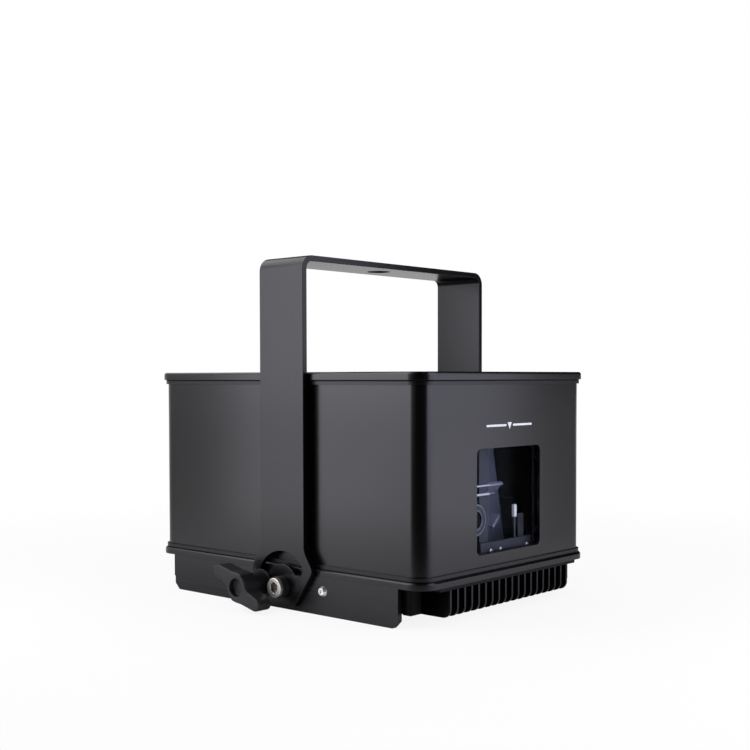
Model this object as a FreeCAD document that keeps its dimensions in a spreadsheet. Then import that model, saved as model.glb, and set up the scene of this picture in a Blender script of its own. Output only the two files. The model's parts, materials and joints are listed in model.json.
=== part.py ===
import FreeCAD, Part
import math
import os
import re
import Sketcher

# Laser show projector: a sealed aluminium case on a finned heat sink, hung in a tilting yoke.
# Millimetres. +Z is up, the aperture window faces -Y, the yoke turns about an axis along X.
# The origin lies on the floor, under the middle of the whole part's box.

SIZES = {
    # Case: a wall with rounded corners between two plates that stand out past it
    "cover_width": 146.0,
    "cover_depth": 199.0,
    "cover_corner": 10.6,
    "cover_thick": 4.1,
    "cover_round": 1.4,
    "wall_inset": 2.3,
    "wall_thick": 3.0,
    "housing_height": 91.9,
    "gasket_inset": 1.1,
    "gasket_thick": 2.3,
    "base_thick": 3.5,
    "base_bevel": 0.7,
    "boss_radius": 4.2,
    "boss_inset": 3.4,
    "case_screw_radius": 1.5,
    "case_screw_head": 3.0,
    "case_screw_length": 10.0,
    # Side plates and the bars behind them, which the part stands on
    "plate_height": 19.5,
    "plate_thick": 3.0,
    "plate_front_inset": 16.0,
    "plate_rear_inset": 15.6,
    "plate_chamfer": 3.5,
    "bar_thick": 9.0,
    "bar_bottom": 7.0,
    "bar_screw_radius": 2.0,
    "bar_screw_head": 3.5,
    "bar_screw_head_height": 4.0,
    "bar_screw_front_inset": 22.8,
    "bar_screw_rear_inset": 27.9,
    "plate_screw_y": 33.7,
    "plate_screw_radius": 1.5,
    "plate_screw_head": 2.8,
    "plate_screw_crown": 1.8,
    "plate_screw_head_height": 1.65,
    # Heat sink
    "fin_thick": 1.25,
    "fin_bottom": 4.0,
    "fin_corner": 4.5,
    "sink_base_thick": 1.6,
    "sink_land": 7.6,
    "sink_gap": 1.025,
    "sink_inset": 0.4,
    "sink_screw_radius": 1.5,
    "sink_screw_head": 2.75,
    "sink_screw_head_height": 2.0,
    "sink_screw_inset": 18.0,
    # Yoke, its pivot and the locking knobs
    "yoke_gap": 0.5,
    "yoke_thick": 3.0,
    "yoke_width": 32.0,
    "yoke_top": 183.2,
    "yoke_bend": 7.0,
    "yoke_hole_radius": 6.5,
    "foot_flare": 19.5,
    "foot_front": 22.2,
    "foot_front_rise": 10.0,
    "foot_toe": 8.3,
    "foot_drop": 10.4,
    "foot_rear": 22.7,
    "foot_rear_rise": 9.0,
    "foot_round": 3.5,
    "foot_heel_round": 8.0,
    "pivot_y": -7.5,
    "pivot_z": 12.4,
    "tilt_range": 140.0,
    "slot_radius": 15.0,
    "slot_width": 6.6,
    "pivot_radius": 3.0,
    "pivot_head": 5.0,
    "pivot_head_height": 4.0,
    "pivot_key": 5.0,
    "pivot_washer_radius": 5.6,
    "pivot_washer_thick": 2.0,
    "pivot_collar": 2.4,
    "spacer_radius": 5.4,
    "knob_washer_radius": 7.5,
    "knob_washer_thick": 1.0,
    "knob_stand": 8.8,
    "knob_hub_radius": 7.2,
    "knob_reach": 17.6,
    "knob_wing_thick": 9.0,
    "knob_wing_top": 3.9,
    "knob_wing_low": 2.4,
    "knob_tip_round": 2.9,
    "knob_tilt": 24.0,
    "knob_recess_radius": 4.75,
    "knob_recess_depth": 3.0,
    "stud_grip": 12.0,
    # Aperture window
    "window_width": 56.2,
    "window_height": 53.4,
    "window_sill": 6.15,
    "window_corner": 3.0,
    "window_lap": 3.0,
    "window_lip": 1.0,
    "glass_thick": 2.0,
    "seal_thick": 0.6,
    "window_rim": 4.5,
    "window_frame_thick": 1.6,
    "frame_screw_radius": 1.0,
    "frame_screw_head": 1.9,
    "frame_screw_head_height": 1.4,
    "frame_screw_bite": 1.8,
    # Rear fittings
    "upper_rise": 60.7,
    "lower_rise": 26.7,
    "inlet_width": 27.4,
    "inlet_height": 19.6,
    "inlet_rim": 2.4,
    "inlet_flange": 2.5,
    "inlet_depth": 19.0,
    "inlet_wall": 1.7,
    "inlet_floor": 3.0,
    "inlet_pin_width": 2.0,
    "inlet_pin_height": 4.0,
    "inlet_pin_length": 15.0,
    "inlet_pin_spacing": 7.0,
    "inlet_pin_offset": 2.5,
    "switch_width": 13.0,
    "switch_height": 19.2,
    "switch_rim": 1.2,
    "switch_flange": 1.8,
    "switch_depth": 12.0,
    "rocker_width": 10.0,
    "rocker_height": 16.0,
    "rocker_depth": 8.0,
    "rocker_tilt": 8.0,
    "rocker_room": 0.8,
    "rocker_pin_radius": 1.0,
    "rocker_pin_stub": 1.0,
    "key_flange_radius": 9.5,
    "key_flange_thick": 3.0,
    "key_barrel_radius": 8.0,
    "key_barrel_depth": 22.0,
    "key_core_radius": 6.0,
    "key_core_length": 20.0,
    "key_core_proud": 0.5,
    "key_slot_width": 1.4,
    "key_slot_height": 8.0,
    "key_slot_depth": 9.0,
    "signal_flange_width": 53.0,
    "signal_flange_height": 12.5,
    "signal_flange_thick": 1.2,
    "signal_shell_width": 38.6,
    "signal_shell_height": 8.2,
    "signal_shell_length": 6.0,
    "signal_shell_wall": 0.5,
    "signal_insert_proud": 5.6,
    "signal_depth": 10.0,
    "jackscrew_spacing": 47.0,
    "jackscrew_flats": 4.8,
    "jackscrew_length": 5.5,
    "jackscrew_radius": 1.5,
    "network_width": 16.0,
    "network_height": 13.6,
    "network_rim": 1.2,
    "network_flange": 1.0,
    "network_depth": 18.0,
    "network_cavity_width": 11.8,
    "network_cavity_height": 8.4,
    "network_cavity_depth": 13.0,
    "interlock_flange_radius": 9.5,
    "interlock_flange": 2.0,
    "interlock_radius": 7.5,
    "interlock_depth": 14.0,
    "interlock_cavity_radius": 5.6,
    "interlock_cavity_depth": 10.0,
    "interlock_pin_radius": 0.8,
    "interlock_pin_length": 7.0,
    "interlock_pin_circle": 3.0,
    "lens_radius": 1.5,
    "lens_proud": 0.8,
    "lens_spacing": 7.0,
    "lens_rise": 40.7,
    "lug_width": 26.0,
    "lug_reach": 26.0,
    "lug_thick": 3.0,
    "lug_rise": 22.0,
    "lug_lift": 2.7,
    "lug_hole_radius": 5.5,
    "lug_screw_radius": 2.0,
    "lug_screw_head": 3.5,
    "lug_screw_head_height": 2.2,
    "lug_screw_spacing": 15.0,
    "lug_screw_rise": 14.0,
    # Laser modules, beam combiner, scanner and shutter
    "beam_rise": 22.0,
    "module_height": 36.0,
    "module_gap": 0.6,
    "module_wall_gap": 8.2,
    "combiner_gap": 7.7,
    "module_rear_gap": 2.0,
    "beam_run": 52.0,
    "barrel_radius": 3.5,
    "barrel_length": 5.0,
    "barrel_bore": 1.6,
    "mirror_setback": 16.2,
    "dichroic_width": 11.0,
    "dichroic_height": 12.0,
    "dichroic_thick": 1.5,
    "post_radius": 5.0,
    "scan_x": 8.4,
    "scan_step": 16.0,
    "galvo_radius": 7.5,
    "galvo_length": 28.0,
    "galvo_shaft": 1.5,
    "galvo_shaft_length": 4.5,
    "galvo_shaft_seat": 3.0,
    "scan_mirror_width": 8.0,
    "scan_mirror_length": 9.0,
    "exit_mirror_length": 18.0,
    "scan_mirror_thick": 1.6,
    "scan_block_foot": 28.3,
    "scan_block_shoulder": 15.6,
    "scan_block_depth": 14.0,
    "scan_block_height": 63.0,
    "scan_cheek_wall": 8.0,
    "scan_cheek_front": 9.5,
    "beam_hole": 4.0,
    "shutter_setback": 16.0,
    "shutter_rise": 9.0,
    "shutter_radius": 5.0,
    "shutter_length": 12.0,
    "shutter_gap": 2.3,
    "shutter_shaft": 1.0,
    "shutter_shaft_length": 3.0,
    "flap_width": 7.0,
    "flap_length": 24.0,
    "flap_thick": 1.0,
    "flap_angle": 141.0,
    # Electronics
    "board_thick": 1.6,
    "standoff_radius": 2.5,
    "standoff_inset": 4.5,
    "control_board_length": 96.0,
    "control_board_head": 13.5,
    "control_board_middle": 20.0,
    "control_board_rise": 9.0,
    "control_standoff": 8.0,
    "driver_board_length": 40.0,
    "driver_wall_gap": 11.7,
    "driver_supply_gap": 15.0,
    "driver_rear_gap": 16.2,
    "driver_standoff": 8.0,
    "galvo_board_height": 22.0,
    "galvo_board_length": 40.0,
    "galvo_board_gap": 8.2,
    "chip_width": 12.0,
    "chip_height": 4.0,
    "supply_width": 38.0,
    "supply_length": 54.0,
    "supply_height": 36.0,
    "supply_gap": 7.1,
    "supply_rear_gap": 33.2,
    "vent_length": 28.4,
    "vent_width": 2.4,
    "vent_depth": 1.2,
    # Clearances: a shank in its hole, a running fit and a gap between free neighbours
    "play": 0.05,
    "free_gap": 0.3,
}

FIN_COUNT = 19
SOCKET_SHARE = 0.55
KEY_SHARE = 1.5
FLATS_TO_RADIUS = 0.57735
QUARTER_TURN = math.pi / 2
COMBINER_TURN = 135
MIRROR_TURN = 45
EDGE_TOLERANCE = 0.01

# Levels and places worked out from the sizes above
DERIVED = {
    "case_y": "(wall_inset - lug_reach) / 2",
    "base_bottom": "plate_height",
    "base_top": "base_bottom + base_thick",
    "wall_bottom": "base_top + gasket_thick",
    "wall_top": "wall_bottom + housing_height",
    "cover_bottom": "wall_top + gasket_thick",
    "cover_top": "cover_bottom + cover_thick",
    "wall_side": "cover_width / 2 - wall_inset",
    "wall_end": "cover_depth / 2 - wall_inset",
    "inner_side": "wall_side - wall_thick",
    "inner_end": "wall_end - wall_thick",
    "boss_x": "inner_side - boss_inset",
    "boss_y": "inner_end - boss_inset",
    "bar_outer": "cover_width / 2 - plate_thick",
    "bar_inner": "bar_outer - bar_thick",
    "plate_front": "cover_depth / 2 - plate_front_inset",
    "plate_rear": "cover_depth / 2 - plate_rear_inset",
    "plate_length": "plate_front + plate_rear",
    "plate_middle": "(plate_rear - plate_front) / 2",
    "bar_screw_front": "plate_front - bar_screw_front_inset",
    "bar_screw_rear": "plate_rear - bar_screw_rear_inset",
    "sink_half": "bar_inner - sink_gap",
    "fin_edge": "sink_half - sink_land",
    "fin_pitch": f"(fin_edge - fin_thick / 2) / {(FIN_COUNT - 1) / 2}",
    "sink_length": "cover_depth - 2 * sink_inset",
    "sink_top": "base_bottom",
    "sink_screw_x": "fin_edge + sink_land / 2",
    "sink_screw_y": "sink_length / 2 - sink_screw_inset",
    "arm_inner": "cover_width / 2 + yoke_gap",
    "arm_outer": "arm_inner + yoke_thick",
    "arm_half": "yoke_width / 2",
    "arm_top": "yoke_top - yoke_bend - pivot_z",
    "bend_middle": "arm_outer - yoke_bend",
    "bend_inner": "yoke_bend - yoke_thick",
    "head_seat": "arm_outer + pivot_washer_thick",
    "pivot_screw_length": "head_seat - bar_inner",
    "stud_y": "pivot_y + slot_radius",
    "knob_seat": "arm_outer + knob_washer_thick",
    "stud_length": "knob_seat + stud_grip - bar_inner",
    "window_middle": "wall_bottom + window_sill + window_height / 2",
    "rebate_width": "window_width + 2 * window_lap",
    "rebate_height": "window_height + 2 * window_lap",
    "rebate_corner": "window_corner + window_lap",
    "seal_face": "wall_end - window_lip",
    "glass_face": "seal_face - seal_thick",
    "frame_face": "glass_face - glass_thick",
    "frame_width": "rebate_width + 2 * window_rim",
    "frame_height": "rebate_height + 2 * window_rim",
    "frame_screw_x": "(rebate_width + window_rim) / 2",
    "frame_screw_z": "rebate_height / 3",
    "frame_screw_length": "inner_end - frame_face + window_frame_thick + frame_screw_bite",
    "rear_flat": "2 * (wall_side - cover_corner + wall_inset)",
    "switch_edge": "switch_width / 2 + switch_rim",
    "network_edge": "network_width / 2 + network_rim",
    "inlet_edge": "inlet_width / 2 + inlet_rim",
    "upper_fill": "signal_flange_width + 2 * (key_flange_radius + switch_edge)",
    "lower_fill": "lug_width + 2 * (network_edge + interlock_flange_radius + inlet_edge)",
    "upper_gap": "(rear_flat - upper_fill) / 4",
    "lower_gap": "(rear_flat - lower_fill) / 5",
    "signal_x": "upper_gap + (signal_flange_width - rear_flat) / 2",
    "key_x": "signal_x + signal_flange_width / 2 + upper_gap + key_flange_radius",
    "switch_x": "rear_flat / 2 - upper_gap - switch_edge",
    "interlock_x": "lower_gap + interlock_flange_radius - rear_flat / 2",
    "network_x": "interlock_x + interlock_flange_radius + lower_gap + network_edge",
    "lug_x": "network_x + network_edge + lower_gap + lug_width / 2",
    "inlet_x": "rear_flat / 2 - lower_gap - inlet_edge",
    "upper_row": "wall_bottom + upper_rise",
    "lower_row": "wall_bottom + lower_rise",
    "lens_z": "wall_bottom + lens_rise",
    "lug_bottom": "wall_bottom + lug_lift",
    "rocker_y": "wall_end + switch_flange / 2",
    "beam_z": "base_top + beam_rise",
    "scan_z": "beam_z + scan_step",
    "mirror_line": "mirror_setback - inner_end",
    "galvo_face": "mirror_line + scan_mirror_length / 2 + galvo_shaft_length",
    "cheek_x": "scan_x - exit_mirror_length / 2 - galvo_shaft_length",
    "cheek_side": "cheek_x - scan_cheek_wall",
    "module_last_x": "cheek_side - combiner_gap",
    "module_room": "inner_side - module_wall_gap + module_last_x",
    "module_pitch": "(module_room + module_gap / 2) / 2.5",
    "module_width": "module_pitch - module_gap",
    "module_first_x": "module_last_x - 2 * module_pitch",
    "module_front": "mirror_line + beam_run",
    "module_length": "driver_board_y - driver_board_length / 2 - module_rear_gap - module_front",
    "shutter_y": "mirror_line + shutter_setback",
    "shutter_inner_x": "cheek_side - shutter_gap",
    "shutter_z": "base_top + shutter_rise",
    "control_board_x": "inner_side - control_standoff - board_thick",
    "control_board_bottom": "base_top + control_board_rise",
    "control_board_height": "cover_bottom - control_board_head - control_board_bottom",
    "supply_x": "control_board_x - chip_height - supply_gap - supply_width / 2",
    "supply_y": "inner_end - supply_rear_gap - supply_length / 2",
    "driver_room": "inner_side - driver_wall_gap - driver_supply_gap",
    "driver_board_width": "driver_room + supply_x - supply_width / 2",
    "driver_board_x": "driver_wall_gap + driver_board_width / 2 - inner_side",
    "driver_board_y": "inner_end - driver_rear_gap - driver_board_length / 2",
    "driver_board_z": "base_top + driver_standoff",
    "galvo_board_x": "scan_x + scan_block_foot + galvo_board_gap",
    "galvo_board_y": "galvo_face + galvo_board_length / 2",
}

doc = FreeCAD.newDocument("laser_show_projector")
sheet = doc.addObject("Spreadsheet::Sheet", "Sizes")
for row, (alias, number) in enumerate(SIZES.items(), 1):
    sheet.set(f"A{row}", alias)
    sheet.set(f"B{row}", str(number))
    sheet.setAlias(f"B{row}", alias)
doc.recompute()

NODES = []
X_AXIS = FreeCAD.Vector(1, 0, 0)
Y_AXIS = FreeCAD.Vector(0, 1, 0)
Z_AXIS = FreeCAD.Vector(0, 0, 1)
TURNS = {
    "+Z": FreeCAD.Rotation(),
    "-Z": FreeCAD.Rotation(X_AXIS, 180),
    "+X": FreeCAD.Rotation(Y_AXIS, 90),
    "-X": FreeCAD.Rotation(Y_AXIS, -90),
    "+Y": FreeCAD.Rotation(X_AXIS, -90),
    "-Y": FreeCAD.Rotation(X_AXIS, 90),
}
OPPOSITE = {"+": "-", "-": "+"}
SIDES = {"left": "-", "right": "+"}


# Expressions and placing

def formula(text):
    """The text with each size bound to its cell and each derived place written out."""
    def expand(match):
        word = match.group()
        if word in SIZES:
            return f"Sizes.{word}"
        if word in DERIVED:
            return f"({formula(DERIVED[word])})"
        if word in ("cos", "sin"):
            return word
        raise KeyError(word)
    return re.sub(r"[a-z][a-z_]*", expand, text)


def value(text):
    return float(sheet.evalExpression(formula(text)))


def bind(item, prop, text):
    item.setExpression(prop, formula(text))


def place(item, x, y, z, turn=TURNS["+Z"], own_frame=False):
    """Moves an item to a point of the case, or of its own frame for a piece made about its axis."""
    item.Placement = FreeCAD.Placement(FreeCAD.Vector(), turn)
    bind(item, "Placement.Base.x", x)
    bind(item, "Placement.Base.y", y if own_frame else f"case_y + ({y})")
    bind(item, "Placement.Base.z", z)
    return item


def along(x, y, z, axis, distance):
    """The point moved by a distance along an axis such as +X."""
    point = {"X": x, "Y": y, "Z": z}
    point[axis[1]] = f"{point[axis[1]]} {axis[0]} ({distance})"
    return point["X"], point["Y"], point["Z"]


def node(item, label):
    item.Label = label
    NODES.append(item)
    return item


# Primitives and booleans

def block(wide, deep, tall, x, y, z):
    """A box whose bottom face is centred on a point."""
    item = doc.addObject("Part::Box", "Block")
    bind(item, "Length", wide)
    bind(item, "Width", deep)
    bind(item, "Height", tall)
    return place(item, f"{x} - ({wide}) / 2", f"{y} - ({deep}) / 2", z)


def rod(radius, length, x, y, z, axis="+Z", own_frame=False):
    item = doc.addObject("Part::Cylinder", "Rod")
    bind(item, "Radius", radius)
    bind(item, "Height", length)
    return place(item, x, y, z, TURNS[axis], own_frame)


def sector(radius, length, angle, x, y, z, turn):
    """A part of a round, from its first side to the angle."""
    item = doc.addObject("Part::Cylinder", "Sector")
    bind(item, "Radius", radius)
    bind(item, "Height", length)
    bind(item, "Angle", angle)
    return place(item, x, y, z, turn)


def cone(radius_low, radius_high, length, x, y, z, axis="+Z"):
    item = doc.addObject("Part::Cone", "Cone")
    bind(item, "Radius1", radius_low)
    bind(item, "Radius2", radius_high)
    bind(item, "Height", length)
    return place(item, x, y, z, TURNS[axis])


def hexagon(flats, length, x, y, z, axis="+Z"):
    item = doc.addObject("Part::Prism", "Hexagon")
    item.Polygon = 6
    bind(item, "Circumradius", f"({flats}) * {FLATS_TO_RADIUS}")
    bind(item, "Height", length)
    return place(item, x, y, z, TURNS[axis])


def fuse(*items):
    joined = doc.addObject("Part::MultiFuse", "Fuse")
    joined.Shapes = list(items)
    joined.Refine = True
    return joined


def cut(base, *tools):
    result = doc.addObject("Part::Cut", "Cut")
    result.Base = base
    result.Tool = tools[0] if len(tools) == 1 else fuse(*tools)
    return result


def group(*items):
    """Separate solids kept in one node."""
    together = doc.addObject("Part::Compound", "Group")
    together.Links = list(items)
    return together


# Sketched plates

def new_sketch(plane):
    body = doc.addObject("PartDesign::Body", "Plate")
    sketch = body.newObject("Sketcher::SketchObject", "Outline")
    origin = next(part for part in body.Origin.OriginFeatures if part.Role == plane)
    sketch.AttachmentSupport = [(origin, "")]
    sketch.MapMode = "FlatFace"
    return body, sketch


def fix_point(sketch, line, end, x, y):
    """Holds a point of the outline at bound distances from the sketch's origin."""
    for kind, text in (("DistanceX", x), ("DistanceY", y)):
        index = sketch.addConstraint(Sketcher.Constraint(kind, -1, 1, line, end, value(text)))
        bind(sketch, f"Constraints[{index}]", text)


def pad(body, sketch, thick):
    feature = body.newObject("PartDesign::Pad", "Pad")
    feature.Profile = sketch
    bind(feature, "Length", thick)
    return body


def rounded_plate(wide, high, corner, thick, plane="XY_Plane"):
    """A plate with rounded corners, centred on its own origin."""
    body, sketch = new_sketch(plane)
    middle_x = f"(({wide}) / 2 - ({corner}))"
    middle_y = f"(({high}) / 2 - ({corner}))"
    corners = (("+", "-"), ("+", "+"), ("-", "+"), ("-", "-"))
    for index, (sign_x, sign_y) in enumerate(corners):
        middle = FreeCAD.Vector(value(sign_x + middle_x), value(sign_y + middle_y), 0)
        circle = Part.Circle(middle, Z_AXIS, value(corner))
        start = (index - 1) * QUARTER_TURN
        sketch.addGeometry(Part.ArcOfCircle(circle, start, start + QUARTER_TURN))
    for index in range(4):
        first = sketch.Geometry[index].EndPoint
        last = sketch.Geometry[(index + 1) % 4].StartPoint
        sketch.addGeometry(Part.LineSegment(first, last))
    for index, (sign_x, sign_y) in enumerate(corners):
        fix_point(sketch, index, 3, sign_x + middle_x, sign_y + middle_y)
        size = sketch.addConstraint(Sketcher.Constraint("Radius", index, value(corner)))
        bind(sketch, f"Constraints[{size}]", corner)
        sketch.addConstraint(Sketcher.Constraint("Tangent", index, 2, 4 + index, 1))
        sketch.addConstraint(Sketcher.Constraint("Tangent", 4 + index, 2, (index + 1) % 4, 1))
    return pad(body, sketch, thick)


def outline_plate(corners, thick, plane="YZ_Plane"):
    """A plate with a straight-sided outline, whose corners are given in the sketch's plane."""
    body, sketch = new_sketch(plane)
    points = [FreeCAD.Vector(value(x), value(y), 0) for x, y in corners]
    count = len(points)
    for index in range(count):
        sketch.addGeometry(Part.LineSegment(points[index], points[(index + 1) % count]))
    for index in range(count):
        sketch.addConstraint(Sketcher.Constraint("Coincident", index, 2, (index + 1) % count, 1))
    for index, (x, y) in enumerate(corners):
        fix_point(sketch, index, 1, x, y)
    return pad(body, sketch, thick)


def ease(body, kind, size, chosen):
    """Rounds or bevels the chosen edges of a body's last feature."""
    doc.recompute()
    base = body.Tip
    names = [f"Edge{index}" for index, edge in enumerate(base.Shape.Edges, 1) if chosen(edge)]
    feature = body.newObject(f"PartDesign::{kind}", kind)
    feature.Base = (base, names)
    bind(feature, "Radius" if kind == "Fillet" else "Size", size)
    body.Tip = feature
    return body


def at_height(height):
    """Chooses the edges that lie at a height over a plate's own origin."""
    level = value(height)
    return lambda edge: max(abs(edge.BoundBox.ZMin - level), abs(edge.BoundBox.ZMax - level)) < EDGE_TOLERANCE


def at_corner(y, z):
    """Chooses the edge along X at one corner of an outline."""
    want = FreeCAD.Vector(0, value(y), value(z))

    def chosen(edge):
        away = edge.CenterOfMass - want
        return edge.BoundBox.XLength > EDGE_TOLERANCE and math.hypot(away.y, away.z) < EDGE_TOLERANCE
    return chosen


def ring_plate(wide, high, corner, band, thick, plane="XY_Plane"):
    """A flat ring of an even band, with rounded corners."""
    outer = rounded_plate(wide, high, corner, thick, plane)
    both = f"2 * ({band})"
    inner = rounded_plate(f"{wide} - {both}", f"{high} - {both}", f"{corner} - ({band})", thick, plane)
    return cut(outer, inner)


# Fasteners

def cap_screw(x, y, z, axis, shank, length, head, height, crown=None, flats=None):
    """A head seated at a point and standing out along the axis, with the shank running the other way."""
    inward = OPPOSITE[axis[0]] + axis[1]
    top = cone(head, crown, height, x, y, z, axis) if crown else rod(head, height, x, y, z, axis)
    solid = fuse(top, rod(shank, length, x, y, z, inward))
    depth = f"({height}) * {SOCKET_SHARE}"
    floor = along(x, y, z, axis, f"({height}) - {depth}")
    return cut(solid, hexagon(flats or f"({shank}) * {KEY_SHARE}", depth, *floor, axis))


def flat_screw(x, y, z, axis, shank, length, head):
    """A countersunk screw whose head is flush at a point."""
    inward = OPPOSITE[axis[0]] + axis[1]
    sink = f"({head} - {shank})"
    neck = along(x, y, z, inward, sink)
    solid = fuse(cone(shank, head, sink, *neck, axis), rod(shank, f"{length} - {sink}", *neck, inward))
    return cut(solid, hexagon(f"({shank}) * {KEY_SHARE}", sink, *neck, axis))


def flat_hole(x, y, z, axis, shank, length, head):
    inward = OPPOSITE[axis[0]] + axis[1]
    sink = f"({head} - {shank})"
    mouth = cone(f"{shank} + play", f"{head} + play", sink, *along(x, y, z, inward, sink), axis)
    return fuse(mouth, rod(f"{shank} + play", length, x, y, z, inward))


def washer(radius, bore, thick, x, y, z, axis):
    return cut(rod(radius, thick, x, y, z, axis), rod(bore, thick, x, y, z, axis))


# Case

CORNER_BOSSES = [(f"{sx}boss_x", f"{sy}boss_y") for sx in "-+" for sy in "-+"]
BOSSES = CORNER_BOSSES + [("-boss_x", "0"), ("+boss_x", "0")]
CASE_SCREW = ("case_screw_radius", "case_screw_length", "case_screw_head")


def make_cover():
    plate = rounded_plate("cover_width", "cover_depth", "cover_corner", "cover_thick")
    ease(plate, "Fillet", "cover_round", at_height("cover_thick"))
    place(plate, "0", "0", "cover_bottom")
    holes = [flat_hole(x, y, "cover_top", "+Z", *CASE_SCREW) for x, y in BOSSES]
    node(cut(plate, *holes), "top_cover")
    screws = [flat_screw(x, y, "cover_top", "+Z", *CASE_SCREW) for x, y in BOSSES]
    node(group(*screws), "cover_screws")


def make_gaskets():
    for label, level in (("top_gasket", "wall_top"), ("bottom_gasket", "base_top")):
        ring = ring_plate("cover_width - 2 * gasket_inset", "cover_depth - 2 * gasket_inset",
                          "cover_corner - gasket_inset", "wall_inset + wall_thick - gasket_inset",
                          "gasket_thick")
        node(place(ring, "0", "0", level), label)


def make_housing():
    tube = ring_plate("2 * wall_side", "2 * wall_end", "cover_corner - wall_inset", "wall_thick",
                      "housing_height")
    place(tube, "0", "0", "wall_bottom")
    bosses = [rod("boss_radius", "housing_height", x, y, "wall_bottom") for x, y in BOSSES]
    holes = [rod("case_screw_radius + play", "housing_height", x, y, "wall_bottom") for x, y in BOSSES]
    node(cut(fuse(tube, *bosses), *holes, *window_cuts(), *rear_cuts()), "housing")


def make_base():
    plate = rounded_plate("cover_width", "cover_depth", "cover_corner", "base_thick")
    ease(plate, "Chamfer", "base_bevel", at_height("base_thick"))
    place(plate, "0", "0", "base_bottom")
    holes = [flat_hole(x, y, "base_bottom", "-Z", *CASE_SCREW) for x, y in CORNER_BOSSES]
    holes += [rod(f"{radius} + play", "base_thick", x, y, "base_bottom") for x, y, radius in base_threads()]
    node(cut(plate, *holes), "base_plate")
    screws = [flat_screw(x, y, "base_bottom", "-Z", *CASE_SCREW) for x, y in CORNER_BOSSES]
    node(group(*screws), "base_screws")


# Heat sink

SINK_SCREWS = [(f"{sx}sink_screw_x", f"{sy}sink_screw_y") for sx in "-+" for sy in "-+"]


def make_heat_sink():
    fins = []
    for index in range(FIN_COUNT):
        x = f"fin_pitch * {index - (FIN_COUNT - 1) / 2}"
        fins.append(block("fin_thick", "sink_length", "sink_top - fin_bottom", x, "0", "fin_bottom"))
    land = block("2 * sink_half", "sink_length", "sink_base_thick", "0", "0", "sink_top - sink_base_thick")
    corners = []
    for sign in "-+":
        end = f"{sign}(sink_length - fin_corner) / 2"
        square = block("2 * fin_edge", "fin_corner", "fin_corner", "0", end, "fin_bottom")
        middle = f"{sign}(sink_length / 2 - fin_corner)"
        round_part = rod("fin_corner", "2 * fin_edge", "-fin_edge", middle, "fin_bottom + fin_corner", "+X")
        corners.append(cut(square, round_part))
    level = "sink_top - sink_base_thick"
    holes = [rod("sink_screw_radius + play", "sink_base_thick", x, y, level) for x, y in SINK_SCREWS]
    node(cut(fuse(land, *fins), *corners, *holes), "heat_sink")
    length = "sink_base_thick + base_thick"
    screws = [cap_screw(x, y, level, "-Z", "sink_screw_radius", length, "sink_screw_head",
                        "sink_screw_head_height") for x, y in SINK_SCREWS]
    node(group(*screws), "heat_sink_screws")


# Side plates and bars

BAR_SCREWS = ("-bar_screw_front", "bar_screw_rear")


def bar_middle(sign):
    return f"{sign}(bar_inner + bar_outer) / 2"


def base_threads():
    """Where screws from below bite into the base plate, with their radius."""
    places = [(x, y, "sink_screw_radius") for x, y in SINK_SCREWS]
    places += [(bar_middle(sign), y, "bar_screw_radius") for sign in "-+" for y in BAR_SCREWS]
    return places


def side_holes(sign):
    """Cross holes through a side plate and its bar: pivot, locking stud and plate screw."""
    length = "plate_thick + bar_thick"
    axis = sign + "X"
    pivot = rod("pivot_radius + play", length, f"{sign}bar_inner", "pivot_y", "pivot_z", axis)
    stud = rod("pivot_radius + play", length, f"{sign}bar_inner", "stud_y", "pivot_z", axis)
    screw = rod("plate_screw_radius + play", length, f"{sign}bar_inner", "-plate_screw_y", "pivot_z", axis)
    return pivot, stud, screw


def make_sides():
    bar_screws = []
    plate_screws = []
    for side, sign in SIDES.items():
        plate = outline_plate([
            ("-plate_front", "plate_chamfer"),
            ("plate_chamfer - plate_front", "0"),
            ("plate_rear - plate_chamfer", "0"),
            ("plate_rear", "plate_chamfer"),
            ("plate_rear", "plate_height"),
            ("-plate_front", "plate_height"),
        ], "plate_thick")
        place(plate, "-cover_width / 2" if sign == "-" else "bar_outer", "0", "0")
        node(cut(plate, *side_holes(sign)), f"{side}_side_plate")
        height = "plate_height - bar_bottom"
        bar = block("bar_thick", "plate_length", height, bar_middle(sign), "plate_middle", "bar_bottom")
        risers = [rod("bar_screw_radius + play", height, bar_middle(sign), y, "bar_bottom")
                  for y in BAR_SCREWS]
        node(cut(bar, *side_holes(sign), *risers), f"{side}_rail_bar")
        bar_screws += [cap_screw(bar_middle(sign), y, "bar_bottom", "-Z", "bar_screw_radius",
                                 "plate_height - bar_bottom + base_thick", "bar_screw_head",
                                 "bar_screw_head_height") for y in BAR_SCREWS]
        plate_screws.append(cap_screw(f"{sign}cover_width / 2", "-plate_screw_y", "pivot_z", sign + "X",
                                      "plate_screw_radius", "plate_thick + bar_thick", "plate_screw_head",
                                      "plate_screw_head_height", "plate_screw_crown"))
    node(group(*bar_screws), "rail_bar_screws")
    node(group(*plate_screws), "side_plate_screws")


# Yoke, pivots and knobs

def arm_plate():
    """One arm with its flared foot, drawn about the pivot."""
    corners = {
        "front_top": ("-arm_half", "arm_top"),
        "front_flare": ("-arm_half", "foot_flare"),
        "front_point": ("-foot_front", "foot_front_rise"),
        "toe": ("-foot_toe", "-foot_drop"),
        "heel": ("foot_rear", "-foot_drop"),
        "rear_point": ("foot_rear", "foot_rear_rise"),
        "rear_flare": ("arm_half", "foot_flare"),
        "rear_top": ("arm_half", "arm_top"),
    }
    arm = outline_plate(list(corners.values()), "yoke_thick")
    rounds = {"front_flare": "foot_heel_round", "front_point": "foot_round", "toe": "foot_round",
              "heel": "foot_heel_round", "rear_point": "foot_round", "rear_flare": "foot_heel_round"}
    for name, radius in rounds.items():
        ease(arm, "Fillet", radius, at_corner(*corners[name]))
    return arm


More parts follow.
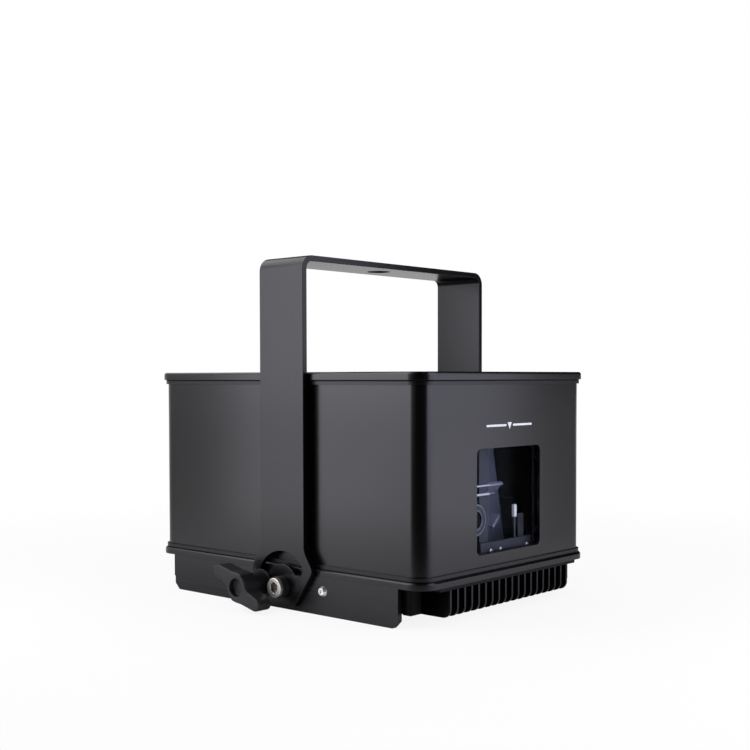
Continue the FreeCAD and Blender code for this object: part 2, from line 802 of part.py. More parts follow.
def bend(sign):
    """The quarter ring between an arm and the bar."""
    turn = TURNS["-Y"] if sign == "+" else TURNS["-X"].multiply(TURNS["-Y"])
    middle = (f"{sign}bend_middle", "pivot_y + arm_half", "yoke_top - yoke_bend")
    outer = sector("yoke_bend", "yoke_width", "90", *middle, turn)
    return cut(outer, sector("bend_inner", "yoke_width", "90", *middle, turn))


def arc_slot():
    """The locking slot in both feet, from the stud's place at rest round to the end of the tilt."""
    turn = FreeCAD.Rotation(Y_AXIS, Z_AXIS, X_AXIS, "ZXY")
    start = ("2 * arm_outer", "tilt_range", "-arm_outer", "pivot_y", "pivot_z", turn)
    outer = sector("slot_radius + slot_width / 2", *start)
    inner = sector("slot_radius - slot_width / 2", *start)
    ends = [rod("slot_width / 2", "2 * arm_outer", "-arm_outer", f"pivot_y + slot_radius * cos({angle})",
                f"pivot_z + slot_radius * sin({angle})", "+X") for angle in ("0", "tilt_range")]
    return fuse(cut(outer, inner), *ends)


def make_yoke():
    arms = [place(arm_plate(), x, "pivot_y", "pivot_z") for x in ("-arm_outer", "arm_inner")]
    bar = block("2 * bend_middle", "yoke_width", "yoke_thick", "0", "pivot_y", "yoke_top - yoke_thick")
    pivot_hole = rod("pivot_radius + play", "2 * arm_outer", "-arm_outer", "pivot_y", "pivot_z", "+X")
    clamp_hole = rod("yoke_hole_radius", "yoke_thick", "0", "pivot_y", "yoke_top - yoke_thick")
    node(cut(fuse(bar, bend("-"), bend("+"), *arms), pivot_hole, arc_slot(), clamp_hole), "yoke")


def make_pivots():
    bore = "pivot_radius + play"
    screws = []
    head_washers = []
    spacers = []
    studs = []
    knob_washers = []
    for sign in "-+":
        axis = sign + "X"
        screws.append(cap_screw(f"{sign}head_seat", "pivot_y", "pivot_z", axis, "pivot_radius",
                                "pivot_screw_length", "pivot_head", "pivot_head_height", flats="pivot_key"))
        foot = (f"{sign}arm_outer", "pivot_y", "pivot_z", axis)
        seat = (f"{sign}head_seat", "pivot_y", "pivot_z", axis)
        sleeve = rod("pivot_washer_radius", "pivot_washer_thick + pivot_collar", *foot)
        head_washers.append(cut(sleeve, rod(bore, "pivot_washer_thick", *foot),
                                rod("pivot_head + play", "pivot_collar", *seat)))
        for y in ("pivot_y", "stud_y"):
            spacers.append(washer("spacer_radius", bore, "yoke_gap", f"{sign}cover_width / 2", y,
                                  "pivot_z", axis))
        studs.append(rod("pivot_radius", "stud_length", f"{sign}bar_inner", "stud_y", "pivot_z", axis))
        knob_washers.append(washer("knob_washer_radius", bore, "knob_washer_thick",
                                   f"{sign}arm_outer", "stud_y", "pivot_z", axis))
    node(group(*screws), "pivot_screws")
    node(group(*head_washers), "pivot_washers")
    node(group(*spacers), "yoke_spacers")
    node(group(*studs), "knob_studs")
    node(group(*knob_washers), "knob_washers")


def make_knob(label, x, facing):
    """A wing knob made about its own axis, standing out along -X, then set on its stud."""
    front = "knob_stand + knob_wing_thick"
    wings = []
    for half_turn in (0, 180):
        wing = outline_plate([
            ("0", "knob_hub_radius"),
            ("0", "-knob_wing_low"),
            ("knob_reach", "-knob_wing_low"),
            ("knob_reach", "knob_wing_top"),
        ], "knob_wing_thick")
        for corner in (("knob_reach", "-knob_wing_low"), ("knob_reach", "knob_wing_top")):
            ease(wing, "Fillet", "knob_tip_round", at_corner(*corner))
        turn = FreeCAD.Rotation(X_AXIS, half_turn + value("knob_tilt"))
        wings.append(place(wing, f"-({front})", "0", "0", turn, own_frame=True))
    hub = rod("knob_hub_radius", front, "0", "0", "0", "-X", own_frame=True)
    recess = rod("knob_recess_radius", "knob_recess_depth", f"-({front})", "0", "0", "+X", own_frame=True)
    bore = rod("pivot_radius + play", "stud_grip + free_gap", "0", "0", "0", "-X", own_frame=True)
    knob = cut(fuse(hub, *wings), recess, bore)
    node(place(knob, x, "stud_y", "pivot_z", facing), label)


# Aperture window

FRAME_SCREWS = [(f"{sx}frame_screw_x", f"window_middle {sz} frame_screw_z") for sx in "-+" for sz in "-+"]


def front_plate(wide, high, corner, thick, face):
    """A rounded plate in the front wall, running outwards from a face behind it."""
    plate = rounded_plate(wide, high, corner, thick, "XZ_Plane")
    return place(plate, "0", face, "window_middle")


def window_cuts():
    opening = front_plate("window_width", "window_height", "window_corner", "2 * wall_thick",
                          "wall_thick - wall_end")
    rebate = front_plate("rebate_width", "rebate_height", "rebate_corner", "wall_thick",
                         "wall_thick - seal_face")
    holes = [rod("frame_screw_radius + play", "frame_screw_bite", x, "-inner_end", z, "-Y")
             for x, z in FRAME_SCREWS]
    return opening, rebate, *holes


def make_window():
    lap = ("rebate_width - 2 * free_gap", "rebate_height - 2 * free_gap", "rebate_corner - free_gap")
    node(front_plate(*lap, "glass_thick", "-frame_face"), "window_glass")
    seal = ring_plate(*lap, "window_lap - free_gap", "seal_thick", "XZ_Plane")
    node(place(seal, "0", "-glass_face", "window_middle"), "window_seal")
    frame = ring_plate("frame_width", "frame_height", "rebate_corner + window_rim", "window_rim + window_lap",
                       "window_frame_thick", "XZ_Plane")
    back = "window_frame_thick - frame_face"
    place(frame, "0", back, "window_middle")
    step = ring_plate("frame_width", "frame_height", "rebate_corner + window_rim", "window_rim",
                      "inner_end - frame_face", "XZ_Plane")
    place(step, "0", "-frame_face", "window_middle")
    length = "window_frame_thick + inner_end - frame_face"
    holes = [rod("frame_screw_radius + play", length, x, back, z, "-Y") for x, z in FRAME_SCREWS]
    node(cut(fuse(frame, step), *holes), "window_frame")
    screws = [cap_screw(x, back, z, "+Y", "frame_screw_radius", "frame_screw_length", "frame_screw_head",
                        "frame_screw_head_height") for x, z in FRAME_SCREWS]
    node(group(*screws), "window_frame_screws")


# Rear fittings

def panel_block(wide, tall, x, z, near, far):
    """A box centred on a point of the rear wall, between two distances from the middle of the case."""
    return block(wide, f"({far}) - ({near})", tall, x, f"(({near}) + ({far})) / 2", f"{z} - ({tall}) / 2")


def wall_slot(wide, tall, x, z):
    return panel_block(f"{wide} + 2 * play", f"{tall} + 2 * play", x, z, "inner_end", "wall_end")


def wall_bore(radius, x, z):
    return rod(f"{radius} + play", "wall_thick", x, "inner_end", z, "+Y")


JACKSCREWS = [f"signal_x {sign} jackscrew_spacing / 2" for sign in "-+"]
LENSES = [f"lug_x + lens_spacing * {step}" for step in (-1, 0, 1)]
LUG_SCREWS = [f"lug_x {sign} lug_screw_spacing / 2" for sign in "-+"]
LUG_SCREW_Z = "lug_bottom + lug_screw_rise"
INSERT = ("signal_shell_width - 2 * (signal_shell_wall + play)",
          "signal_shell_height - 2 * (signal_shell_wall + play)")
PIN_ANGLES = (90, 210, 330)


def rear_cuts():
    cuts = [
        wall_slot("inlet_width", "inlet_height", "inlet_x", "lower_row"),
        wall_slot("switch_width", "switch_height", "switch_x", "upper_row"),
        wall_bore("key_barrel_radius", "key_x", "upper_row"),
        wall_slot(*INSERT, "signal_x", "upper_row"),
        wall_slot("network_width", "network_height", "network_x", "lower_row"),
        wall_bore("interlock_radius", "interlock_x", "lower_row"),
    ]
    cuts += [wall_bore("jackscrew_radius", x, "upper_row") for x in JACKSCREWS]
    cuts += [wall_bore("lens_radius", x, "lens_z") for x in LENSES]
    cuts += [wall_bore("lug_screw_radius", x, LUG_SCREW_Z) for x in LUG_SCREWS]
    return cuts


def make_power_inlet():
    floor = "inner_end - inlet_depth + inlet_floor"
    mouth = "wall_end + inlet_flange"
    flange = panel_block("inlet_width + 2 * inlet_rim", "inlet_height + 2 * inlet_rim", "inlet_x",
                         "lower_row", "wall_end", mouth)
    barrel = panel_block("inlet_width", "inlet_height", "inlet_x", "lower_row", "inner_end - inlet_depth",
                         "wall_end")
    cavity = panel_block("inlet_width - 2 * inlet_wall", "inlet_height - 2 * inlet_wall", "inlet_x",
                         "lower_row", floor, mouth)
    node(cut(fuse(flange, barrel), cavity), "power_inlet")
    places = (("inlet_x", "lower_row + inlet_pin_offset"),
              ("inlet_x - inlet_pin_spacing", "lower_row - inlet_pin_offset"),
              ("inlet_x + inlet_pin_spacing", "lower_row - inlet_pin_offset"))
    pins = [panel_block("inlet_pin_width", "inlet_pin_height", x, z, floor, f"{floor} + inlet_pin_length")
            for x, z in places]
    node(group(*pins), "power_inlet_pins")


def make_power_switch():
    room = "rocker_width + 2 * free_gap"
    back = "inner_end - switch_depth"
    mouth = "wall_end + switch_flange"
    flange = panel_block("switch_width + 2 * switch_rim", "switch_height + 2 * switch_rim", "switch_x",
                         "upper_row", "wall_end", mouth)
    barrel = panel_block("switch_width", "switch_height", "switch_x", "upper_row", back, "wall_end")
    cavity = panel_block(room, "rocker_height + 2 * rocker_room", "switch_x", "upper_row",
                         f"{back} + switch_rim", mouth)
    sockets = rod("rocker_pin_radius + play", f"{room} + 2 * rocker_pin_stub",
                  f"switch_x - ({room}) / 2 - rocker_pin_stub", "rocker_y", "upper_row", "+X")
    node(cut(fuse(flange, barrel), cavity, sockets), "switch_frame")
    key = outline_plate([
        ("-rocker_depth / 2", "-rocker_height / 2"),
        ("rocker_depth / 2", "-rocker_height / 2"),
        ("rocker_depth / 2", "rocker_height / 2"),
        ("-rocker_depth / 2", "rocker_height / 2"),
    ], "rocker_width")
    turn = FreeCAD.Rotation(X_AXIS, value("rocker_tilt"))
    place(key, "switch_x - rocker_width / 2", "rocker_y", "upper_row", turn)
    pin = rod("rocker_pin_radius", "rocker_width + 2 * rocker_pin_stub",
              "switch_x - rocker_width / 2 - rocker_pin_stub", "rocker_y", "upper_row", "+X")
    node(fuse(key, pin), "switch_rocker")


def make_key_switch():
    front = "wall_end + key_flange_thick"
    back = f"{front} - key_core_length"
    flange = rod("key_flange_radius", "key_flange_thick", "key_x", "wall_end", "upper_row", "+Y")
    barrel = rod("key_barrel_radius", "wall_thick + key_barrel_depth", "key_x",
                 "inner_end - key_barrel_depth", "upper_row", "+Y")
    bore = rod("key_core_radius + play", "key_core_length", "key_x", back, "upper_row", "+Y")
    node(cut(fuse(flange, barrel), bore), "key_switch_barrel")
    core = rod("key_core_radius", "key_core_length + key_core_proud", "key_x", back, "upper_row", "+Y")
    slot = panel_block("key_slot_width", "key_slot_height", "key_x", "upper_row",
                       f"{front} - key_slot_depth", f"{front} + key_core_proud")
    node(cut(core, slot), "key_switch_core")


def make_signal_socket():
    seat = "wall_end + signal_flange_thick"
    flange = panel_block("signal_flange_width", "signal_flange_height", "signal_x", "upper_row",
                         "wall_end", seat)
    shell = panel_block("signal_shell_width", "signal_shell_height", "signal_x", "upper_row",
                        "wall_end", "wall_end + signal_shell_length")
    inside = panel_block("signal_shell_width - 2 * signal_shell_wall",
                         "signal_shell_height - 2 * signal_shell_wall", "signal_x", "upper_row",
                         "wall_end", "wall_end + signal_shell_length")
    holes = [rod("jackscrew_radius + play", "signal_flange_thick", x, "wall_end", "upper_row", "+Y")
             for x in JACKSCREWS]
    node(cut(fuse(flange, shell), inside, *holes), "show_signal_shell")
    insert = panel_block(*INSERT, "signal_x", "upper_row", "inner_end - signal_depth",
                         "wall_end + signal_insert_proud")
    node(insert, "show_signal_insert")
    shank = "signal_flange_thick + wall_thick"
    jackscrews = [fuse(hexagon("jackscrew_flats", "jackscrew_length", x, seat, "upper_row", "+Y"),
                       rod("jackscrew_radius", shank, x, seat, "upper_row", "-Y")) for x in JACKSCREWS]
    node(group(*jackscrews), "show_signal_jackscrews")


def make_network_socket():
    mouth = "wall_end + network_flange"
    flange = panel_block("network_width + 2 * network_rim", "network_height + 2 * network_rim", "network_x",
                         "lower_row", "wall_end", mouth)
    barrel = panel_block("network_width", "network_height", "network_x", "lower_row",
                         "inner_end - network_depth", "wall_end")
    cavity = panel_block("network_cavity_width", "network_cavity_height", "network_x", "lower_row",
                         f"{mouth} - network_cavity_depth", mouth)
    node(cut(fuse(flange, barrel), cavity), "network_socket")


def make_interlock_socket():
    mouth = "wall_end + interlock_flange"
    floor = f"{mouth} - interlock_cavity_depth"
    flange = rod("interlock_flange_radius", "interlock_flange", "interlock_x", "wall_end", "lower_row", "+Y")
    barrel = rod("interlock_radius", "wall_thick + interlock_depth", "interlock_x",
                 "inner_end - interlock_depth", "lower_row", "+Y")
    cavity = rod("interlock_cavity_radius", "interlock_cavity_depth", "interlock_x", floor, "lower_row", "+Y")
    node(cut(fuse(flange, barrel), cavity), "interlock_socket")
    pins = []
    for angle in PIN_ANGLES:
        x = f"interlock_x + interlock_pin_circle * cos({angle})"
        z = f"lower_row + interlock_pin_circle * sin({angle})"
        pins.append(rod("interlock_pin_radius", "interlock_pin_length", x, floor, z, "+Y"))
    node(group(*pins), "interlock_pins")


def make_status_lenses():
    lenses = [rod("lens_radius", "wall_thick + lens_proud", x, "inner_end", "lens_z", "+Y") for x in LENSES]
    node(group(*lenses), "status_lenses")


def make_safety_lug():
    """An angle on the rear wall with a hole for the safety wire's link."""
    seat = "wall_end + lug_thick"
    middle = "wall_end + lug_reach - lug_width / 2"
    upright = panel_block("lug_width", "lug_rise", "lug_x", "lug_bottom + lug_rise / 2", "wall_end", seat)
    shelf = panel_block("lug_width", "lug_thick", "lug_x", "lug_bottom + lug_thick / 2", "wall_end", middle)
    tip = rod("lug_width / 2", "lug_thick", "lug_x", middle, "lug_bottom")
    eye = rod("lug_hole_radius", "lug_thick", "lug_x", middle, "lug_bottom")
    holes = [rod("lug_screw_radius + play", "lug_thick", x, "wall_end", LUG_SCREW_Z, "+Y")
             for x in LUG_SCREWS]
    node(cut(fuse(upright, shelf, tip), eye, *holes), "safety_lug")
    screws = [cap_screw(x, seat, LUG_SCREW_Z, "+Y", "lug_screw_radius", "lug_thick + wall_thick",
                        "lug_screw_head", "lug_screw_head_height") for x in LUG_SCREWS]
    node(group(*screws), "safety_lug_screws")


# Lasers and optics

def module_x(index):
    return f"module_first_x + module_pitch * {index}"


def make_lasers():
    mirrors = []
    posts = []
    for index, colour in enumerate(("red", "green", "blue")):
        x = module_x(index)
        case = block("module_width", "module_length", "module_height", x,
                     "module_front + module_length / 2", "base_top")
        barrel = rod("barrel_radius", "barrel_length", x, "module_front", "beam_z", "-Y")
        bore = rod("barrel_bore", "2 * barrel_length", x, "module_front - barrel_length", "beam_z", "+Y")
        node(cut(fuse(case, barrel), bore), f"{colour}_laser")
        mirror = outline_plate([
            ("-dichroic_width / 2", "-dichroic_height / 2"),
            ("dichroic_width / 2", "-dichroic_height / 2"),
            ("dichroic_width / 2", "dichroic_height / 2"),
            ("-dichroic_width / 2", "dichroic_height / 2"),
        ], "dichroic_thick", "XZ_Plane")
        mirrors.append(place(mirror, x, "mirror_line", "beam_z", FreeCAD.Rotation(Z_AXIS, COMBINER_TURN)))
        posts.append(rod("post_radius", "beam_rise - dichroic_height / 2", x, "mirror_line", "base_top"))
    node(group(*mirrors), "combiner_mirrors")
    node(group(*posts), "mirror_posts")


def scan_plate(first, last, length, plane):
    """A scan mirror's blade, with its reflecting face on the axis."""
    return outline_plate([
        ("-scan_mirror_width / 2", first),
        ("scan_mirror_width / 2", first),
        ("scan_mirror_width / 2", last),
        ("-scan_mirror_width / 2", last),
    ], length, plane)


def make_scanner():
    """The first mirror throws the beam up, and the longer exit mirror over it throws it out of the window."""
    shaft_length = "galvo_shaft + galvo_shaft_length + galvo_shaft_seat"
    x_blade = scan_plate("-scan_mirror_thick", "0", "scan_mirror_length", "XZ_Plane")
    place(x_blade, "scan_x", "mirror_line + scan_mirror_length / 2", "beam_z",
          FreeCAD.Rotation(Y_AXIS, -MIRROR_TURN))
    x_shaft = rod("galvo_shaft", shaft_length, "scan_x", "mirror_line + scan_mirror_length / 2 - galvo_shaft",
                  "beam_z", "+Y")
    node(fuse(x_blade, x_shaft), "x_scan_mirror")
    y_blade = scan_plate("0", "scan_mirror_thick", "exit_mirror_length", "YZ_Plane")
    blade_end = "scan_x - exit_mirror_length / 2"
    place(y_blade, blade_end, "mirror_line", "scan_z", FreeCAD.Rotation(X_AXIS, -MIRROR_TURN))
    y_shaft = rod("galvo_shaft", shaft_length, f"{blade_end} + galvo_shaft", "mirror_line", "scan_z", "-X")
    node(fuse(y_blade, y_shaft), "y_scan_mirror")
    x_start = ("scan_x", "galvo_face", "beam_z", "+Y")
    y_start = ("cheek_x", "mirror_line", "scan_z", "-X")
    for label, start in (("x_galvo", x_start), ("y_galvo", y_start)):
        motor = rod("galvo_radius", "galvo_length", *start)
        node(cut(motor, rod("galvo_shaft + play", "galvo_shaft_seat", *start)), label)
    bracket = outline_plate([
        ("cheek_side", "base_top"),
        ("scan_x + scan_block_foot", "base_top"),
        ("scan_x + scan_block_shoulder", "base_top + scan_block_height"),
        ("cheek_side", "base_top + scan_block_height"),
    ], "scan_block_depth", "XZ_Plane")
    place(bracket, "0", "galvo_face + scan_block_depth", "0")
    cheek_front = "mirror_line - scan_cheek_front"
    cheek = block("scan_cheek_wall", f"galvo_face - ({cheek_front})", "scan_block_height",
                  "cheek_x - scan_cheek_wall / 2", f"(galvo_face + {cheek_front}) / 2", "base_top")
    bores = (rod("galvo_radius + play", "scan_block_depth", *x_start),
             rod("galvo_radius + play", "scan_cheek_wall", *y_start),
             rod("beam_hole", "scan_cheek_wall", "cheek_x", "mirror_line", "beam_z", "-X"))
    node(cut(fuse(bracket, cheek), *bores), "scanner_block")


def make_shutter():
    start = ("shutter_inner_x", "shutter_y", "shutter_z", "-X")
    coil = rod("shutter_radius", "shutter_length", *start)
    foot = block("shutter_length", "2 * shutter_radius", "shutter_rise",
                 "shutter_inner_x - shutter_length / 2", "shutter_y", "base_top")
    socket = rod("shutter_shaft + play", "shutter_shaft_length", *start)
    node(cut(fuse(coil, foot), socket), "shutter_solenoid")
    arm = outline_plate([
        ("-flap_width / 2", "-flap_width / 2"),
        ("flap_length", "-flap_width / 2"),
        ("flap_length", "flap_width / 2"),
        ("-flap_width / 2", "flap_width / 2"),
    ], "flap_thick")
    turn = FreeCAD.Rotation(X_AXIS, value("flap_angle"))
    place(arm, "shutter_inner_x + free_gap", "shutter_y", "shutter_z", turn)
    shaft = rod("shutter_shaft", "shutter_shaft_length + free_gap + flap_thick",
                "shutter_inner_x - shutter_shaft_length", "shutter_y", "shutter_z", "+X")
    node(fuse(arm, shaft), "shutter_flap")


# Electronics: the larger parts' sizes, and their places as shares of the board's or case's size

TALL_CHIP = ("chip_width", "chip_height", "chip_width")
FLAT_CHIP = ("chip_width", "chip_width", "chip_height")
DRIVER_CHIPS = ((TALL_CHIP, -0.3, 0.3), (TALL_CHIP, 0.0, 0.3), (TALL_CHIP, 0.3, 0.3), (FLAT_CHIP, 0.0, -0.2))
GALVO_CHIP_SHARES = (-0.15, 0.25)
CONTROL_CHIPS = ((-0.3, 0.2), (0.0, 0.2), (0.3, 0.2), (-0.15, 0.6), (0.2, 0.6))
VENT_SHARES = (-0.3, -0.15, 0.0, 0.15, 0.3)


def make_flat_board(label, wide, long, x, y, chips):
    """A board on four standoffs over the base plate, with its larger parts as blocks."""
    board = block(wide, long, "board_thick", x, y, "driver_board_z")
    blocks = [block(*chip_size, f"{x} + ({wide}) * {share_x}", f"{y} + ({long}) * {share_y}",
                    "driver_board_z + board_thick") for chip_size, share_x, share_y in chips]
    node(fuse(board, *blocks), label)
    legs = []
    for sx in "-+":
        for sy in "-+":
            legs.append(rod("standoff_radius", "driver_standoff", f"{x} {sx} (({wide}) / 2 - standoff_inset)",
                            f"{y} {sy} (({long}) / 2 - standoff_inset)", "base_top"))
    return legs


def make_control_board():
    middle_z = "control_board_bottom + control_board_height / 2"
    board = block("board_thick", "control_board_length", "control_board_height",
                  "control_board_x + board_thick / 2", "control_board_middle", "control_board_bottom")
    chips = [block("chip_height", "chip_width", "chip_width", "control_board_x - chip_height / 2",
                   f"control_board_middle + control_board_length * {share_y}",
                   f"control_board_bottom + control_board_height * {share_z}")
             for share_y, share_z in CONTROL_CHIPS]
    node(fuse(board, *chips), "control_board")
    legs = []
    for sy in "-+":
        for sz in "-+":
            legs.append(rod("standoff_radius", "control_standoff", "control_board_x + board_thick",
                            f"control_board_middle {sy} (control_board_length / 2 - standoff_inset)",
                            f"{middle_z} {sz} (control_board_height / 2 - standoff_inset)", "+X"))
    return legs


def make_galvo_board():
    """A board that stands on its long edge on two posts, with its larger parts on the side of the scanner."""
    board = block("board_thick", "galvo_board_length", "galvo_board_height", "galvo_board_x", "galvo_board_y",
                  "driver_board_z")
    chip_x = "galvo_board_x - (board_thick + chip_height) / 2"
    chips = [block("chip_height", "chip_width", "chip_width", chip_x,
                   f"galvo_board_y + galvo_board_length * {share}",
                   "driver_board_z + (galvo_board_height - chip_width) / 2") for share in GALVO_CHIP_SHARES]
    node(fuse(board, *chips), "galvo_driver_board")
    reach = "(galvo_board_length / 2 - standoff_inset)"
    return [rod("standoff_radius", "driver_standoff", "galvo_board_x", f"galvo_board_y {sign} {reach}",
                "base_top") for sign in "-+"]


def make_electronics():
    legs = make_control_board()
    legs += make_flat_board("laser_driver_board", "driver_board_width", "driver_board_length",
                            "driver_board_x", "driver_board_y", DRIVER_CHIPS)
    legs += make_galvo_board()
    node(group(*legs), "board_standoffs")
    case = block("supply_width", "supply_length", "supply_height", "supply_x", "supply_y", "base_top")
    vents = [block("vent_length", "vent_width", "vent_depth", "supply_x",
                   f"supply_y + supply_length * {share}", "base_top + supply_height - vent_depth")
             for share in VENT_SHARES]
    node(cut(case, *vents), "power_supply")


make_cover()
make_gaskets()
make_housing()
make_base()
make_heat_sink()
make_sides()
make_yoke()
make_pivots()
make_knob("left_knob", "-knob_seat", TURNS["+Z"])
make_knob("right_knob", "knob_seat", FreeCAD.Rotation(Z_AXIS, 180))
make_window()
make_power_inlet()
make_power_switch()
make_key_switch()
make_signal_socket()
make_network_socket()
make_interlock_socket()
make_status_lenses()
make_safety_lug()
make_lasers()
make_scanner()
make_shutter()
make_electronics()

doc.recompute()
for item in doc.Objects:
    if "Invalid" in item.State or "Error" in item.State:
        raise RuntimeError(f"{item.Name} ({item.Label}) failed: {item.State}")
for item in NODES:
    if item.Shape.isNull() or not item.Shape.isValid() or not item.Shape.Solids:
        raise RuntimeError(f"{item.Label} has no sound solid")

os.makedirs("parts", exist_ok=True)
for item in NODES:
    item.Shape.exportStep(f"parts/{item.Label}.step")
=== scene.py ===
import json
import math

import bmesh
import bpy
from mathutils import Matrix, Vector


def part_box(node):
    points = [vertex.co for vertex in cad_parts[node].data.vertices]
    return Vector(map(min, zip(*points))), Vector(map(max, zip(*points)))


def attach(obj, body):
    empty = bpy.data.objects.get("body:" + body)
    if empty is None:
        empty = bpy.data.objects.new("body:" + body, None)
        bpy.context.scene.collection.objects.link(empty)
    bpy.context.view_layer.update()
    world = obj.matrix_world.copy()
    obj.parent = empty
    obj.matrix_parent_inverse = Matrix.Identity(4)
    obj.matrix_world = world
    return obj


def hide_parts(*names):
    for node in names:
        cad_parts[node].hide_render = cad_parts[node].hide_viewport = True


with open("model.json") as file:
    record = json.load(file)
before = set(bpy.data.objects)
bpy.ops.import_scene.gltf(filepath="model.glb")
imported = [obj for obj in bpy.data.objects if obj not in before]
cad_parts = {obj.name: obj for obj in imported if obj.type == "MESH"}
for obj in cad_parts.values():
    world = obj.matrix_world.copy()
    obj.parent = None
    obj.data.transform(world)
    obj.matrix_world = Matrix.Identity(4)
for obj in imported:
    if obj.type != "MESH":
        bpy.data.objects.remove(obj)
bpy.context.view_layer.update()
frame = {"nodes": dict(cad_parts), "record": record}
scene = bpy.context.scene
nodes = frame["nodes"]

MM = 0.001
UM = 0.000001

# Places that the CAD model fixes, in millimetres
FIN_ROOT = 17.9                        # height at which the heat sink's fins end in its plate
KNOB_SEAT = (77.5, -4.35, 12.4)        # where the right knob's neck starts; the left one mirrors it
EXIT_AXIS = (-89.85, 61.0)             # Y and Z of the exit mirror's axis
CHEEK_FRONT = -99.36                   # just ahead of the scanner's cheek, which holds the exit mirror's motor
CHEEK_SIDE = -5.1                      # the cheek's side towards the mirrors
CASE_FLOOR = 23.1                      # just over the base plate
REAR_FACE = 85.36                      # just off the rear wall


# Shader nodes


def new_material(name):
    material = bpy.data.materials.new(name)
    material.use_nodes = True
    tree = material.node_tree
    return material, tree, tree.nodes["Principled BSDF"]


def add(tree, kind, **sockets):
    """A node, with its inputs or its settings given by name."""
    node = tree.nodes.new("ShaderNode" + kind)
    for key, setting in sockets.items():
        if key in node.inputs:
            node.inputs[key].default_value = setting
        else:
            setattr(node, key, setting)
    return node


def position(tree):
    """The object's own coordinates, whole and split."""
    whole = add(tree, "TexCoord").outputs["Object"]
    split = add(tree, "SeparateXYZ")
    tree.links.new(whole, split.inputs["Vector"])
    return whole, split.outputs


def calculated(tree, operation, *sources):
    node = add(tree, "Math", operation=operation)
    for socket, source in zip(node.inputs, sources):
        tree.links.new(source, socket)
    return node.outputs["Value"]


def along(tree, source, direction):
    """How far a place or a view lies in a direction."""
    node = add(tree, "VectorMath", operation="DOT_PRODUCT")
    node.inputs[1].default_value = direction
    tree.links.new(source, node.inputs[0])
    return node.outputs["Value"]


def noise(tree, scale, detail=3.0, stretch=(1, 1, 1)):
    coords = add(tree, "TexCoord")
    place = add(tree, "Mapping", Scale=stretch)
    texture = add(tree, "TexNoise", Scale=scale, Detail=detail)
    tree.links.new(coords.outputs["Object"], place.inputs["Vector"])
    tree.links.new(place.outputs["Vector"], texture.inputs["Vector"])
    return texture.outputs["Fac"]


def spread(tree, source, low, high, start=0.3, end=0.7):
    """A number between low and high that follows a pattern."""
    node = add(tree, "MapRange")
    node.inputs["From Min"].default_value = start
    node.inputs["From Max"].default_value = end
    node.inputs["To Min"].default_value = low
    node.inputs["To Max"].default_value = high
    tree.links.new(source, node.inputs["Value"])
    return node.outputs["Result"]


def tint(tree, source, low, high, start=0.3, end=0.7):
    """A colour between two that follows a pattern."""
    node = add(tree, "ValToRGB")
    first, last = node.color_ramp.elements
    first.position, last.position = start, end
    first.color = (*low, 1)
    last.color = (*high, 1)
    tree.links.new(source, node.inputs["Fac"])
    return node.outputs["Color"]


def blended(tree, share, first, second):
    """One colour over another, by a share."""
    node = add(tree, "Mix", data_type="RGBA")
    tree.links.new(share, node.inputs["Factor"])
    tree.links.new(first, node.inputs["A"])
    tree.links.new(second, node.inputs["B"])
    return node.outputs["Result"]


def mixed(tree, share, first, second):
    """One shader over another, by a share."""
    node = add(tree, "MixShader")
    tree.links.new(share, node.inputs["Fac"])
    tree.links.new(first, node.inputs[1])
    tree.links.new(second, node.inputs[2])
    return node.outputs["Shader"]


def relief(tree, bsdf, source, depth):
    """Bumps of a depth in micrometres."""
    node = add(tree, "Bump", Strength=1.0, Distance=depth * UM)
    tree.links.new(source, node.inputs["Height"])
    tree.links.new(node.outputs["Normal"], bsdf.inputs["Normal"])


# Materials


def finish(name, low, high, rough, patch, grain, depth=10, metallic=0.0, ior=1.5,
           stretch=(1, 1, 1), grain_stretch=(1, 1, 1)):
    """A surface whose colour and gloss drift in patches, under a fine grain."""
    material, tree, bsdf = new_material(name)
    bsdf.inputs["Metallic"].default_value = metallic
    bsdf.inputs["IOR"].default_value = ior
    broad = noise(tree, patch, 3.0, stretch)
    fine = noise(tree, grain, 2.0, grain_stretch)
    tree.links.new(tint(tree, broad, low, high), bsdf.inputs["Base Color"])
    tree.links.new(spread(tree, fine, *rough), bsdf.inputs["Roughness"])
    relief(tree, bsdf, fine, depth)
    return material


def board_material(name):
    """Green solder mask with copper tracks showing through as lighter lines."""
    material, tree, bsdf = new_material(name)
    coords = add(tree, "TexCoord")
    tracks = add(tree, "TexBrick", Scale=140.0)
    tracks.inputs["Color1"].default_value = (0.010, 0.090, 0.035, 1)
    tracks.inputs["Color2"].default_value = (0.008, 0.070, 0.028, 1)
    tracks.inputs["Mortar"].default_value = (0.030, 0.170, 0.070, 1)
    tracks.inputs["Mortar Size"].default_value = 0.03
    tree.links.new(coords.outputs["Object"], tracks.inputs["Vector"])
    tree.links.new(tracks.outputs["Color"], bsdf.inputs["Base Color"])
    fine = noise(tree, 600)
    tree.links.new(spread(tree, fine, 0.25, 0.40), bsdf.inputs["Roughness"])
    relief(tree, bsdf, fine, 10)
    return material


def glass_material(name):
    """A coated pane: almost all light goes through, and faint smears catch the rest."""
    material, tree, bsdf = new_material(name)
    tree.nodes.remove(bsdf)
    clear = add(tree, "BsdfTransparent", Color=(0.93, 0.94, 0.97, 1))
    sheen = add(tree, "BsdfGlossy", Color=(0.80, 0.86, 1.0, 1), Roughness=0.03)
    smear = noise(tree, 60, 4.0, (1, 1, 0.4))
    pane = mixed(tree, spread(tree, smear, 0.001, 0.003), clear.outputs["BSDF"], sheen.outputs["BSDF"])
    tree.links.new(pane, tree.nodes["Material Output"].inputs["Surface"])
    return material


